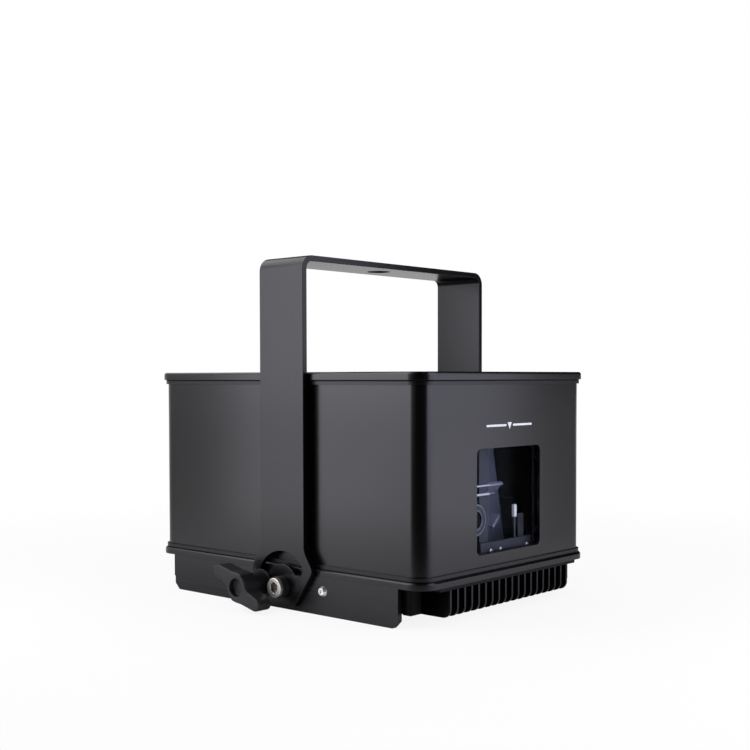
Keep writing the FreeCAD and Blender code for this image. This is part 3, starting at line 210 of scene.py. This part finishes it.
def lens_material(name):
    """Three lamps in one row, each of its own colour."""
    material, tree, bsdf = new_material(name)
    bsdf.inputs["Roughness"].default_value = 0.12
    _, place = position(tree)
    low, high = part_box("status_lenses")
    ramp = add(tree, "ValToRGB")
    ramp.color_ramp.interpolation = "CONSTANT"
    ramp.color_ramp.elements[0].color = (0.05, 0.42, 0.10, 1)
    ramp.color_ramp.elements[1].position = 0.66
    ramp.color_ramp.elements[1].color = (0.50, 0.03, 0.03, 1)
    amber = ramp.color_ramp.elements.new(0.33)
    amber.color = (0.60, 0.28, 0.03, 1)
    tree.links.new(spread(tree, place["X"], 0.0, 1.0, low.x, high.x), ramp.inputs["Fac"])
    tree.links.new(ramp.outputs["Color"], bsdf.inputs["Base Color"])
    relief(tree, bsdf, noise(tree, 800), 10)
    return material


def sink_material(name):
    """A black anodised extrusion, drawn lengthways. The fins' ends get a lighter metallic finish and their sides a
    dim one: painted contrast for the light on the fins' front edges and the shade in the gaps between them.
    """
    material, tree, bsdf = new_material(name)
    # A low specular level keeps all but the fins' metallic ends dim: painted shade for the gaps between the fins
    bsdf.inputs["Specular IOR Level"].default_value = 0.12
    facing = add(tree, "SeparateXYZ")
    tree.links.new(add(tree, "NewGeometry").outputs["Normal"], facing.inputs["Vector"])
    ends = calculated(tree, "ABSOLUTE", facing.outputs["Y"])
    _, place = position(tree)
    on_fins = spread(tree, place["Z"], 1.0, 0.0, FIN_ROOT * MM - 0.0004, FIN_ROOT * MM)
    # The fins' ends, kept lighter than their sides: a painted highlight against the painted shade between the fins
    lit_fin_ends = calculated(tree, "MULTIPLY", spread(tree, ends, 0.0, 1.0, 0.3, 0.8), on_fins)
    drawn = noise(tree, 900, 2.0, (1, 0.03, 1))
    painted_fin_contrast = tint(tree, lit_fin_ends, (0.0012, 0.0012, 0.0013), (0.046, 0.046, 0.048), 0.0, 1.0)
    tree.links.new(painted_fin_contrast, bsdf.inputs["Base Color"])
    tree.links.new(lit_fin_ends, bsdf.inputs["Metallic"])
    tree.links.new(spread(tree, drawn, 0.28, 0.36), bsdf.inputs["Roughness"])
    relief(tree, bsdf, drawn, 8)
    return material


def cap_material(name):
    """Bright cap screws, whose sockets are darkened inside with painted shade and some residue."""
    material, tree, bsdf = new_material(name)
    bsdf.inputs["Metallic"].default_value = 1.0
    low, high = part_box("pivot_screws")
    middle = (low + high) / 2
    whole, place = position(tree)
    flat = add(tree, "VectorMath", operation="MULTIPLY")
    flat.inputs[1].default_value = (0, 1, 1)
    tree.links.new(whole, flat.inputs[0])
    radius = add(tree, "VectorMath", operation="DISTANCE")
    radius.inputs[1].default_value = (0, middle.y, middle.z)
    tree.links.new(flat.outputs["Vector"], radius.inputs[0])
    out = calculated(tree, "ABSOLUTE", place["X"])
    sunk = spread(tree, out, 1.0, 0.0, high.x - 0.0007, high.x - 0.0002)
    central = spread(tree, radius.outputs["Value"], 1.0, 0.0, 0.0029, 0.0031)
    # The inside of each socket: darkened with painted shade and some residue
    socket_shade = calculated(tree, "MULTIPLY", sunk, central)
    fine = noise(tree, 2600, 2.0)
    bright = tint(tree, fine, (0.96, 0.93, 0.83), (1.0, 0.97, 0.87))
    # The sockets' colour: painted shade with some residue
    socket_shade_colour = tint(tree, fine, (0.20, 0.185, 0.16), (0.26, 0.24, 0.21))
    tree.links.new(blended(tree, socket_shade, bright, socket_shade_colour), bsdf.inputs["Base Color"])
    tree.links.new(spread(tree, fine, 0.36, 0.44), bsdf.inputs["Roughness"])
    relief(tree, bsdf, fine, 2)
    return material


def block_material(name):
    """The scanner's block: bead-blasted blue-grey, with a darker cheek that holds the exit mirror's motor."""
    material, tree, bsdf = new_material(name)
    _, place = position(tree)
    blast = noise(tree, 500)
    cheek = tint(tree, blast, (0.025, 0.029, 0.039), (0.032, 0.036, 0.049))
    block = tint(tree, blast, (0.120, 0.135, 0.184), (0.146, 0.163, 0.218))
    past = spread(tree, place["X"], 0.0, 1.0, (CHEEK_SIDE - 0.3) * MM, (CHEEK_SIDE + 0.3) * MM)
    tree.links.new(blended(tree, past, cheek, block), bsdf.inputs["Base Color"])
    bsdf.inputs["Roughness"].default_value = 0.6
    relief(tree, bsdf, noise(tree, 1800), 10)
    return material


# Each finish: two colours, the range of roughness, the scales of its patches and grain, and the grain's depth
FINISHES = {
    "anodised_black": dict(low=(0.0007, 0.0007, 0.0008), high=(0.0012, 0.0012, 0.0014), rough=(0.23, 0.27),
                           patch=25, grain=2600, depth=2),
    "anodised_drawn": dict(low=(0.0014, 0.0014, 0.0016), high=(0.0024, 0.0024, 0.0027), rough=(0.26, 0.34),
                           patch=30, grain=700, stretch=(1, 0.15, 1), grain_stretch=(1, 0.02, 1)),
    "yoke_black": dict(low=(0.0008, 0.0008, 0.0009), high=(0.0014, 0.0014, 0.0016), rough=(0.24, 0.29),
                       patch=30, grain=2600, depth=2, ior=1.45),
    "bar_black": dict(low=(0.0008, 0.0008, 0.0009), high=(0.0014, 0.0014, 0.0016), rough=(0.30, 0.40),
                      patch=30, grain=900, depth=8, ior=1.15, grain_stretch=(1, 0.03, 1)),
    "screw_black": dict(low=(0.006, 0.006, 0.007), high=(0.012, 0.012, 0.013), rough=(0.28, 0.45),
                        patch=300, grain=2500),
    "screw_steel": dict(low=(0.88, 0.87, 0.84), high=(0.98, 0.97, 0.94), rough=(0.26, 0.38),
                        patch=400, grain=2600, depth=2, metallic=1.0),
    "nylon_black": dict(low=(0.006, 0.006, 0.007), high=(0.010, 0.010, 0.011), rough=(0.38, 0.50),
                        patch=200, grain=1800),
    "knob_plastic": dict(low=(0.003, 0.003, 0.0033), high=(0.005, 0.005, 0.0055), rough=(0.50, 0.62),
                         patch=150, grain=3200, depth=20),
    "gasket_rubber": dict(low=(0.0010, 0.0010, 0.0011), high=(0.0020, 0.0020, 0.0021), rough=(0.28, 0.38),
                          patch=80, grain=1500, depth=8, ior=1.44),
    "socket_plastic": dict(low=(0.008, 0.008, 0.009), high=(0.014, 0.014, 0.015), rough=(0.34, 0.48),
                           patch=120, grain=2600, depth=12),
    "rocker_plastic": dict(low=(0.010, 0.010, 0.011), high=(0.016, 0.016, 0.017), rough=(0.22, 0.32),
                           patch=150, grain=2600, depth=6),
    "connector_nickel": dict(low=(0.55, 0.54, 0.51), high=(0.70, 0.68, 0.64), rough=(0.20, 0.34),
                             patch=200, grain=2200, depth=6, metallic=1.0),
    "pin_brass": dict(low=(0.70, 0.50, 0.20), high=(0.86, 0.66, 0.32), rough=(0.16, 0.30),
                      patch=300, grain=2200, depth=5, metallic=1.0),
    "module_aluminium": dict(low=(0.30, 0.33, 0.44), high=(0.40, 0.43, 0.55), rough=(0.34, 0.46),
                             patch=60, grain=1400, depth=12, metallic=1.0),
    "motor_steel": dict(low=(0.30, 0.31, 0.35), high=(0.42, 0.43, 0.47), rough=(0.36, 0.42),
                        patch=80, grain=2600, depth=0.5, metallic=1.0),
    "optic_mirror": dict(low=(0.78, 0.80, 0.84), high=(0.84, 0.86, 0.90), rough=(0.02, 0.05),
                         patch=60, grain=500, depth=0.5, metallic=1.0),
    "coated_mirror": dict(low=(0.34, 0.37, 0.47), high=(0.40, 0.43, 0.54), rough=(0.04, 0.08),
                          patch=60, grain=500, depth=0.5, metallic=0.5),
    "inner_black": dict(low=(0.0030, 0.0032, 0.0042), high=(0.0060, 0.0064, 0.0084), rough=(0.42, 0.56),
                        patch=60, grain=1400, depth=8),
    "board_black": dict(low=(0.003, 0.005, 0.004), high=(0.007, 0.010, 0.008), rough=(0.38, 0.52),
                        patch=120, grain=900),
    "ground_edge": dict(low=(0.46, 0.48, 0.54), high=(0.60, 0.62, 0.68), rough=(0.30, 0.45),
                        patch=200, grain=1500),
    "plug_white": dict(low=(0.80, 0.80, 0.78), high=(0.90, 0.90, 0.88), rough=(0.35, 0.50),
                       patch=150, grain=1500),
    "foot_dark": dict(low=(0.016, 0.018, 0.024), high=(0.022, 0.024, 0.032), rough=(0.40, 0.55),
                      patch=120, grain=1500),
    "stalk_dark": dict(low=(0.024, 0.024, 0.027), high=(0.038, 0.038, 0.042), rough=(0.40, 0.55),
                       patch=120, grain=1500),
    "flange_grey": dict(low=(0.028, 0.032, 0.043), high=(0.036, 0.040, 0.053), rough=(0.50, 0.62),
                        patch=120, grain=1500, depth=6),
    "ring_grey": dict(low=(0.15, 0.165, 0.21), high=(0.20, 0.22, 0.28), rough=(0.35, 0.50),
                      patch=150, grain=1500),
    "print_white": dict(low=(0.62, 0.62, 0.63), high=(0.74, 0.74, 0.75), rough=(0.45, 0.60),
                        patch=300, grain=2200, depth=4),
}
SPECIAL = {
    "board_green": board_material, "window_glass": glass_material, "lens_clear": lens_material,
    "sink_black": sink_material, "cap_steel": cap_material, "scanner_block": block_material,
}
looks = {name: finish(name, **spec) for name, spec in FINISHES.items()}
looks.update({name: make(name) for name, make in SPECIAL.items()})

# Nodes that don't take the look of their slot
OWN_LOOK = {
    "left_side_plate": "anodised_drawn", "right_side_plate": "anodised_drawn", "left_rail_bar": "bar_black",
    "right_rail_bar": "bar_black", "pivot_screws": "cap_steel", "scanner_block": "scanner_block",
    "window_frame": "inner_black", "galvo_driver_board": "board_black", "x_scan_mirror": "coated_mirror",
    "y_scan_mirror": "coated_mirror",
}
for part in frame["record"]["subparts"]:
    materials = nodes[part["node"]].data.materials
    materials.clear()
    materials.append(looks[OWN_LOOK.get(part["node"], part["material_slot"])])

# Eased edges on the solids: the width of each node's rounding in millimetres
EDGES = {
    "housing": 0.25, "top_cover": 0.25, "base_plate": 0.2, "left_side_plate": 0.35, "right_side_plate": 0.35,
    "left_rail_bar": 0.3, "right_rail_bar": 0.3, "safety_lug": 0.4, "heat_sink": 0.3, "yoke": 0.35,
    "pivot_washers": 0.2, "pivot_screws": 0.6, "side_plate_screws": 0.2, "knob_washers": 0.2,
    "rail_bar_screws": 0.25, "safety_lug_screws": 0.25, "power_inlet": 0.4, "switch_frame": 0.3,
    "switch_rocker": 0.4, "key_switch_barrel": 0.4, "key_switch_core": 0.2, "show_signal_shell": 0.15,
    "show_signal_insert": 0.2, "show_signal_jackscrews": 0.2, "network_socket": 0.3, "interlock_socket": 0.3,
    "status_lenses": 0.4, "window_frame": 0.2, "scanner_block": 0.4, "power_inlet_pins": 0.3,
    "interlock_pins": 0.25, "red_laser": 0.5, "green_laser": 0.5, "blue_laser": 0.5, "power_supply": 0.4,
    "x_galvo": 0.3, "y_galvo": 0.3,
}
FLAT_ANGLE = math.radians(0.4)         # faces that meet at less are one face
EDGE_ANGLE = math.radians(38)          # edges sharper than this are rounded


def shade_smooth(thing):
    shade = thing.modifiers.new("shade", "WEIGHTED_NORMAL")
    shade.keep_sharp = False
    for face in thing.data.polygons:
        face.use_smooth = True


for name, width in EDGES.items():
    target = nodes[name]
    weld = target.modifiers.new("weld", "WELD")
    weld.merge_threshold = UM
    flat = target.modifiers.new("flat", "DECIMATE")
    flat.decimate_type = "DISSOLVE"
    flat.angle_limit = FLAT_ANGLE
    edge = target.modifiers.new("edge", "BEVEL")
    edge.width = width * MM
    edge.segments = 3
    edge.limit_method = "ANGLE"
    edge.angle_limit = EDGE_ANGLE
    edge.use_clamp_overlap = True
    shade_smooth(target)


# Meshes, with all measures in millimetres


def piece(name, bm, slot, body, look=None):
    """An object from a mesh, on a body, with its slot's look or another one."""
    bmesh.ops.recalc_face_normals(bm, faces=bm.faces)
    mesh = bpy.data.meshes.new(name)
    bm.to_mesh(mesh)
    bm.free()
    thing = bpy.data.objects.new(name, mesh)
    scene.collection.objects.link(thing)
    mesh.materials.append(looks[look or slot])
    shade_smooth(thing)
    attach(thing, body)
    return thing


def skin(bm, rings, caps=True):
    """Faces between one ring of points and the next, and over both ends."""
    count = len(rings[0])
    for lower, upper in zip(rings, rings[1:]):
        for step in range(count):
            after = (step + 1) % count
            bm.faces.new((lower[step], lower[after], upper[after], upper[step]))
    if caps:
        bm.faces.new(list(reversed(rings[0])))
        bm.faces.new(rings[-1])


def box(bm, low, high, edge, segments=2):
    """A box between two corners, with rounded edges."""
    made = bmesh.ops.create_cube(bm, size=1.0)["verts"]
    size = Vector(high) - Vector(low)
    middle = (Vector(high) + Vector(low)) / 2
    bmesh.ops.scale(bm, vec=size * MM, verts=made)
    bmesh.ops.translate(bm, vec=middle * MM, verts=made)
    edges = list({e for v in made for e in v.link_edges})
    bmesh.ops.bevel(bm, geom=edges, offset=edge * MM, segments=segments, affect="EDGES", profile=0.5)


def turned(bm, profile, origin, axis, around):
    """A turned form: a list of (distance along the axis, radius)."""
    axis = Vector(axis).normalized()
    side = axis.orthogonal().normalized()
    other = axis.cross(side)
    rings = []
    for along_axis, radius in profile:
        ring = []
        for step in range(around):
            angle = 2 * math.pi * step / around
            spot = Vector(origin) + axis * along_axis + (side * math.cos(angle) + other * math.sin(angle)) * radius
            ring.append(bm.verts.new(spot * MM))
        rings.append(ring)
    skin(bm, rings)


def ring_band(bm, centre, inner, outer, proud, around=64):
    """A flat ring with rounded rims that faces -Y."""
    rim = 0.25
    profile = [(0.0, outer), (proud * 0.7, outer), (proud, outer - rim), (proud, inner + rim), (proud * 0.7, inner)]
    rings = []
    for out, radius in profile:
        ring = []
        for step in range(around):
            angle = 2 * math.pi * step / around
            spot = Vector(centre) + Vector((radius * math.cos(angle), -out, radius * math.sin(angle)))
            ring.append(bm.verts.new(spot * MM))
        rings.append(ring)
    skin(bm, rings + rings[:1], caps=False)


# Wing knobs: a hub with two wings, whose outline is the zero line of a field

HUB, REACH = 7.2, 19.4                 # the hub's radius and the wings' length
TOP, LOW = 3.9, 2.4                    # a wing's height over its axis at the tip, and its depth under it
NECK, STAND = 6.3, 8.8                 # the neck's radius and length
WING = 9.0                             # the wings' thickness
RECESS, RECESS_DEPTH = 4.75, 3.0
BACK_EDGE, FRONT_EDGE, LIP = 0.7, 0.9, 0.35
TILT = math.radians(24)


def soft_least(a, b, reach):
    mix = max(reach - abs(a - b), 0) / reach
    return min(a, b) - mix * mix * reach / 4


def soft_most(a, b, reach):
    return -soft_least(-a, -b, reach)


def wing_field(x, y):
    """Below zero inside one wing, whose top slopes down from the hub to the tip."""
    rounding = 4.0
    slope = math.hypot(HUB - TOP, REACH)
    top = ((HUB - TOP) * x + REACH * (y - HUB)) / slope
    body = soft_most(soft_most(top, -LOW - y, rounding), x - REACH, rounding)
    return max(body, -x)


def knob_field(x, y):
    wings = min(wing_field(x, y), wing_field(-x, -y))
    return soft_least(math.hypot(x, y) - HUB, wings, 2.4)


def unit_circle(count):
    return [Vector((math.cos(2 * math.pi * s / count), math.sin(2 * math.pi * s / count))) for s in range(count)]


def knob_outline(circle):
    """The outline's point in each of a circle's directions, found by halving."""
    points = []
    for way in circle:
        low, high = 3.0, 24.0
        for _ in range(40):
            middle = (low + high) / 2
            if knob_field(middle * way.x, middle * way.y) < 0:
                low = middle
            else:
                high = middle
        points.append(way * low)
    return points


def shrunk(points, amount):
    """The outline moved inwards along its own normals."""
    count = len(points)
    moved = []
    for step in range(count):
        run = points[(step + 1) % count] - points[step - 1]
        inward = Vector((-run.y, run.x)).normalized()
        moved.append(points[step] + inward * amount)
    return moved


def quarter(steps):
    """The sine and cosine of each step of a quarter turn."""
    turns = [math.pi / 2 * step / (steps - 1) for step in range(steps)]
    return [(math.sin(turn), math.cos(turn)) for turn in turns]


def make_knob(name, node, body, outward):
    circle = unit_circle(240)
    outline = knob_outline(circle)
    front = STAND + WING
    floor = front - RECESS_DEPTH

    def disc(radius):
        return [way * radius for way in circle]

    rings = [(disc(NECK - 0.9), 0.0), (disc(NECK - 0.3), 0.0), (disc(NECK), 0.3)]
    rings += [(disc(NECK), STAND - 0.5), (disc(NECK + 0.1), STAND - 0.1)]
    rings += [(shrunk(outline, BACK_EDGE * (1 - s)), STAND + BACK_EDGE * (1 - c)) for s, c in quarter(5)]
    rings += [(shrunk(outline, FRONT_EDGE * (1 - c)), front - FRONT_EDGE * (1 - s)) for s, c in quarter(6)]
    rings += [(disc(RECESS + LIP * (1 - s)), front - LIP * (1 - c)) for s, c in quarter(4)]
    rings += [(disc(RECESS), floor + 0.5), (disc(RECESS - 0.15), floor + 0.15)]
    rings += [(disc(RECESS - 0.5), floor), (disc(2.2), floor)]
    seat_x, seat_y, seat_z = KNOB_SEAT
    bm = bmesh.new()
    made = []
    for points, out in rings:
        ring = []
        for p in points:
            y = p.x * math.cos(TILT) - p.y * math.sin(TILT)
            z = p.x * math.sin(TILT) + p.y * math.cos(TILT)
            ring.append(bm.verts.new(Vector((outward * (seat_x + out), seat_y - outward * y, seat_z + z)) * MM))
        made.append(ring)
    skin(bm, made)
    knob = piece(name, bm, "knob_plastic", body)
    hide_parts(node)


# Case: a printed mark, painted shadow lines at the seals and the rail bars' plugs


def aperture_mark():
    """A plain printed mark over the window: a rule in two halves with round ends, and a wedge that points down."""
    back, front = -109.06, -109.12
    level, half = 96.2, 0.55
    outlines = [[(-1.9, level + 1.4), (0.0, level - 2.0), (1.9, level + 1.4)]]
    for start, end in ((-19.6, -3.4), (3.4, 19.6)):
        points = []
        for centre, first in ((end, -90), (start, 90)):
            for step in range(9):
                angle = math.radians(first + 180 * step / 8)
                points.append((centre + half * math.cos(angle), level + half * math.sin(angle)))
        outlines.append(points)
    bm = bmesh.new()
    for points in outlines:
        skin(bm, [[bm.verts.new(Vector((x, y, z)) * MM) for x, z in points] for y in (back, front)])
    piece("aperture_mark", bm, "anodised_black", "case", "print_white")


def seal_shadow_lines():
    """Painted shadow: a thin dark band round each seal's edge, standing in for the shade in the gap where the seal
    meets its plate.
    """
    half_wide, half_deep, middle_y = 71.9, 98.4, -11.85
    corner, proud, sunk = 9.5, 0.04, -0.3
    corners = ((1, 1, 0), (-1, 1, 90), (-1, -1, 180), (1, -1, 270))
    bm = bmesh.new()
    for low, high in ((118.9, 119.46), (23.04, 23.6)):
        rings = []
        for level, out in ((low, sunk), (low, proud), (high, proud), (high, sunk)):
            ring = []
            for side_x, side_y, first in corners:
                for step in range(13):
                    angle = math.radians(first + 90 * step / 12)
                    x = side_x * (half_wide - corner) + (corner + out) * math.cos(angle)
                    y = middle_y + side_y * (half_deep - corner) + (corner + out) * math.sin(angle)
                    ring.append(bm.verts.new(Vector((x, y, level)) * MM))
            rings.append(ring)
        skin(bm, rings + rings[:1], caps=False)
    piece("seal_shadow_lines", bm, "gasket_rubber", "case", "bar_black")


def bar_caps():
    """The plugs in the ends of the two rail bars."""
    bm = bmesh.new()
    for left, right in ((-69.6, -61.4), (61.4, 69.6)):
        for start, end in ((-100.6, -95.2), (71.9, 77.3)):
            box(bm, (left, start, 6.4), (right, end, 19.2), 0.5)
    piece("bar_caps", bm, "nylon_black", "case", "bar_black")


# Scanner: what shows through the window

PORT_X, PORT_Z = -16.9, 47.6
FLANGE_PROUD = 0.8
FOOT_FRONT = -103.2
SCREW_HEAD = [(0.0, 1.3), (0.45, 1.3), (0.75, 1.0), (0.75, 0.55), (0.3, 0.5)]


def mirror_edges():
    """The ground edges of the exit mirror, made flat and then tilted with it."""
    half_wide, thick = 3.7, 0.22
    bm = bmesh.new()
    for across in (-half_wide, half_wide):
        box(bm, (-0.55, across - 0.35, -thick), (17.35, across + 0.35, 0.0), 0.08, 1)
    bmesh.ops.transform(bm, matrix=Matrix.Rotation(math.radians(-45), 4, "X"), verts=bm.verts)
    bmesh.ops.translate(bm, vec=Vector((0, *EXIT_AXIS)) * MM, verts=bm.verts)
    piece("exit_mirror_edges", bm, "optic_mirror", "y_scanner", "ground_edge")


def motor_straps():
    """Two ground straps on the cheek, in front of the exit mirror's motor."""
    bm = bmesh.new()
    for level, tall in ((64.9, 0.8), (60.4, 1.1)):
        box(bm, (-24.5, -100.3, level - tall / 2), (CHEEK_SIDE, CHEEK_FRONT, level + tall / 2), 0.2)
    piece("motor_straps", bm, "motor_steel", "case", "ground_edge")


def port_flange():
    """The round flange of the beam's port, which carries the rings."""
    bm = bmesh.new()
    ring_band(bm, (PORT_X, CHEEK_FRONT, PORT_Z), 4.5, 8.4, FLANGE_PROUD)
    piece("port_flange", bm, "module_aluminium", "case", "flange_grey")


def port_rings():
    """The two raised rings on the port's flange."""
    bm = bmesh.new()
    for inner, outer in ((7.4, 8.2), (4.6, 5.2)):
        ring_band(bm, (PORT_X, CHEEK_FRONT - FLANGE_PROUD - 0.01, PORT_Z), inner, outer, 0.3)
    piece("port_rings", bm, "motor_steel", "case", "ring_grey")


def sensor_head():
    """The white head of the beam's watch sensor, with three ribs, on its stalk beside the exit mirror."""
    bm = bmesh.new()
    box(bm, (15.2, -101.6, 46.6), (17.4, -99.8, 53.2), 0.3)
    for level in (47.9, 49.6, 51.3):
        box(bm, (15.7, -101.9, level - 0.3), (16.9, -101.4, level + 0.3), 0.1, 1)
    piece("sensor_head", bm, "socket_plastic", "case", "plug_white")


def sensor_stalk():
    """The sensor's stalk and the block of its lead."""
    bm = bmesh.new()
    box(bm, (15.5, -101.2, CASE_FLOOR), (17.1, -100.0, 46.7), 0.2)
    box(bm, (19.8, -100.9, CASE_FLOOR), (25.0, -99.7, 48.0), 0.4)
    piece("sensor_stalk", bm, "socket_plastic", "case", "stalk_dark")


def scanner_foot():
    """The strip that clamps the scanner to the base."""
    bm = bmesh.new()
    box(bm, (-17.0, FOOT_FRONT, CASE_FLOOR), (31.0, -101.7, 36.0), 0.3)
    piece("scanner_foot", bm, "motor_steel", "case", "foot_dark")


def foot_screws():
    """The screws in the scanner's foot."""
    bm = bmesh.new()
    for across in (-8.5, 0.0, 24.0):
        turned(bm, SCREW_HEAD, (across, FOOT_FRONT, 31.3), (0, -1, 0), 24)
    piece("foot_screws", bm, "screw_steel", "case")


# Rear: the signal socket's contacts, the network socket's springs and plain printed marks

SIGNAL_X, NETWORK_X = -26.55, -22.52
CONTACT = [(0.0, 0.80), (0.16, 0.80), (0.22, 0.70), (0.22, 0.48), (0.06, 0.44)]
CONTACT_PITCH, SPRING_PITCH = 2.76, 1.02
DOT = [(0.0, 0.75), (0.06, 0.75), (0.08, 0.6)]
DOTS = ((18.8, 98.2), (31.0, 86.0), (45.35, 99.2), (45.35, 72.8))
RULES = ((SIGNAL_X, 96.4, 12.0), (-47.06, 64.4, 5.0), (NETWORK_X, 63.0, 5.0), (40.46, 67.2, 8.0))


def signal_contacts():
    """Two rows of round contacts, thirteen over twelve."""
    bm = bmesh.new()
    for count, level in ((13, 87.42), (12, 84.58)):
        for step in range(count):
            across = SIGNAL_X + CONTACT_PITCH * (step - (count - 1) / 2)
            turned(bm, CONTACT, (across, 90.93, level), (0, 1, 0), 16)
    piece("signal_contacts", bm, "pin_brass", "case")


def network_springs():
    """Eight flat springs on the floor of the network socket's mouth."""
    bm = bmesh.new()
    for step in range(8):
        across = NETWORK_X + SPRING_PITCH * (step - 3.5)
        box(bm, (across - 0.23, 74.0, 47.95), (across + 0.23, 84.5, 48.25), 0.08, 1)
    piece("network_springs", bm, "pin_brass", "case")


def rear_marks():
    """A dot at each end of the key's turn and each side of the switch, and a rule over each socket."""
    bm = bmesh.new()
    for across, level in DOTS:
        turned(bm, DOT, (across, REAR_FACE, level), (0, 1, 0), 24)
    for across, level, half in RULES:
        box(bm, (across - half, REAR_FACE, level - 0.3), (across + half, REAR_FACE + 0.07, level + 0.3), 0.02, 1)
    piece("rear_marks", bm, "anodised_black", "case", "print_white")


make_knob("left_wing_knob", "left_knob", "left_lock", -1)
make_knob("right_wing_knob", "right_knob", "right_lock", 1)
for make in (aperture_mark, seal_shadow_lines, bar_caps, mirror_edges, motor_straps, port_flange, port_rings, sensor_head,
             sensor_stalk, scanner_foot, foot_screws, signal_contacts, network_springs, rear_marks):
    make()

# Stage: a pale floor that keeps the object's shadow and lets the white backdrop show through. In reflections it is
# dark towards the front, a little darker close beside the object, and white far behind it.

FLOOR_REACH = 6.0
TO_FRONT = Vector((-0.749, -0.663, 0.0))


def floor_material():
    material, tree, bsdf = new_material("floor")
    bsdf.inputs["Base Color"].default_value = (0.92, 0.92, 0.92, 1)
    bsdf.inputs["Roughness"].default_value = 0.9
    plain = bsdf.outputs["BSDF"]
    rays = add(tree, "LightPath").outputs
    whole, _ = position(tree)
    length = add(tree, "VectorMath", operation="LENGTH")
    tree.links.new(whole, length.inputs[0])
    distance = length.outputs["Value"]
    ahead = along(tree, whole, TO_FRONT)

    dim = add(tree, "Emission", Color=(0.02, 0.02, 0.02, 1), Strength=1.0)
    in_front = spread(tree, ahead, 0.0, 1.0, 0.17, 0.27)
    rearwards = spread(tree, ahead, 0.35, 0.0, 0.03, 0.09)
    beside = calculated(tree, "MULTIPLY", rearwards, spread(tree, distance, 1.0, 0.0, 0.18, 0.26))
    shaded = mixed(tree, calculated(tree, "MAXIMUM", in_front, beside), plain, dim.outputs["Emission"])
    sweep = add(tree, "Emission", Color=(1, 1, 1, 1), Strength=0.9)
    far_behind = spread(tree, ahead, 1.0, 0.0, -1.0, -0.5)
    mirrored = mixed(tree, far_behind, shaded, sweep.outputs["Emission"])

    through = add(tree, "BsdfTransparent", Color=(1, 1, 1, 1))
    direct = calculated(tree, "MAXIMUM", rays["Is Camera Ray"], rays["Is Transmission Ray"])
    share = calculated(tree, "MULTIPLY", direct, spread(tree, distance, 0.88, 1.0, 0.15, 0.50))
    seen = mixed(tree, share, plain, through.outputs["BSDF"])
    both = mixed(tree, rays["Is Glossy Ray"], seen, mirrored)
    tree.links.new(both, tree.nodes["Material Output"].inputs["Surface"])
    return material


floor_mesh = bpy.data.meshes.new("floor")
floor_corners = [(x * FLOOR_REACH, y * FLOOR_REACH, 0) for x, y in ((-1, -1), (1, -1), (1, 1), (-1, 1))]
floor_mesh.from_pydata(floor_corners, [], [(0, 1, 2, 3)])
floor_mesh.materials.append(floor_material())
floor = bpy.data.objects.new("floor", floor_mesh)
scene.collection.objects.link(floor)

# World: white where the camera looks, and in reflections a white wall behind the object with a dim room elsewhere

WALL = Vector((-0.5, 0.85, 0.2)).normalized()


def studio_world():
    world = bpy.data.worlds.new("studio")
    world.use_nodes = True
    tree = world.node_tree
    plain = tree.nodes["Background"]
    plain.inputs["Color"].default_value = (1, 1, 1, 1)
    plain.inputs["Strength"].default_value = 0.45
    backdrop = add(tree, "Background", Color=(1, 1, 1, 1), Strength=1.0).outputs["Background"]
    mirrored = add(tree, "Background", Strength=1.0)
    facing = along(tree, add(tree, "TexCoord").outputs["Generated"], WALL)
    room = tint(tree, facing, (0.008, 0.008, 0.010), (0.72, 0.73, 0.77), 0.35, 0.85)
    tree.links.new(room, mirrored.inputs["Color"])
    rays = add(tree, "LightPath").outputs
    shown = mixed(tree, rays["Is Glossy Ray"], plain.outputs["Background"], mirrored.outputs["Background"])
    for ray in ("Is Transmission Ray", "Is Camera Ray"):
        shown = mixed(tree, rays[ray], shown, backdrop)
    tree.links.new(shown, tree.nodes["World Output"].inputs["Surface"])
    return world


scene.world = studio_world()


# Lamps, in metres


def softbox(name, centre, target, wide, tall, radiance, colour=(1, 1, 1)):
    lamp = bpy.data.lights.new(name, "AREA")
    lamp.shape = "RECTANGLE"
    lamp.size = wide
    lamp.size_y = tall
    lamp.energy = radiance * math.pi * wide * tall
    lamp.color = colour
    thing = bpy.data.objects.new(name, lamp)
    scene.collection.objects.link(thing)
    thing.location = centre
    thing.rotation_euler = (Vector(target) - Vector(centre)).to_track_quat("-Z", "Y").to_euler()
    thing.visible_camera = False


def banked(name, centre, target, wide, low, high, colour):
    """Two softboxes one over the other, the upper one brighter."""
    for part, level, tall, radiance in (("low", 0.0525, 0.095, low), ("high", 0.3325, 0.465, high)):
        softbox(f"{name}_{part}", (*centre, level), (*target, level), wide, tall, radiance, colour)


banked("softbox_left", (-0.3034, 0.1382), (-0.0199, 0.0397), 0.223, 2.02, 2.70, (0.91, 0.895, 1.0))
banked("softbox_corner", (0.010, -0.3973), (-0.1481, -0.1423), 0.256, 2.1, 2.5, (0.82, 0.83, 1.0))
banked("softbox_right", (0.1732, -0.2961), (0.0151, -0.0411), 0.128, 1.38, 1.62, (0.82, 0.83, 1.0))
softbox("softbox_top", (-0.10, 0.62, 0.90), (0.0, 0.0, 0.10), 0.8, 0.6, 1.5)

# Camera: fitted to the photograph, whose framing needs a small shift

IMAGE = 750                            # pixels across the photograph
FOCAL = 1167.06                        # focal length in pixels
RISE = 40                              # the shift in pixels
SENSOR = 36

lens = bpy.data.cameras.new("camera")
lens.sensor_width = SENSOR
lens.lens = SENSOR * FOCAL / IMAGE
lens.shift_y = RISE / IMAGE
lens.clip_start = 0.01
camera = bpy.data.objects.new("camera", lens)
scene.collection.objects.link(camera)
camera.location = (-0.496076, -0.455425, 0.120997)
camera.rotation_euler = (math.radians(90 - 1.864), math.radians(0.117), math.radians(-48.496))
scene.camera = camera
scene.view_settings.view_transform = "Standard"
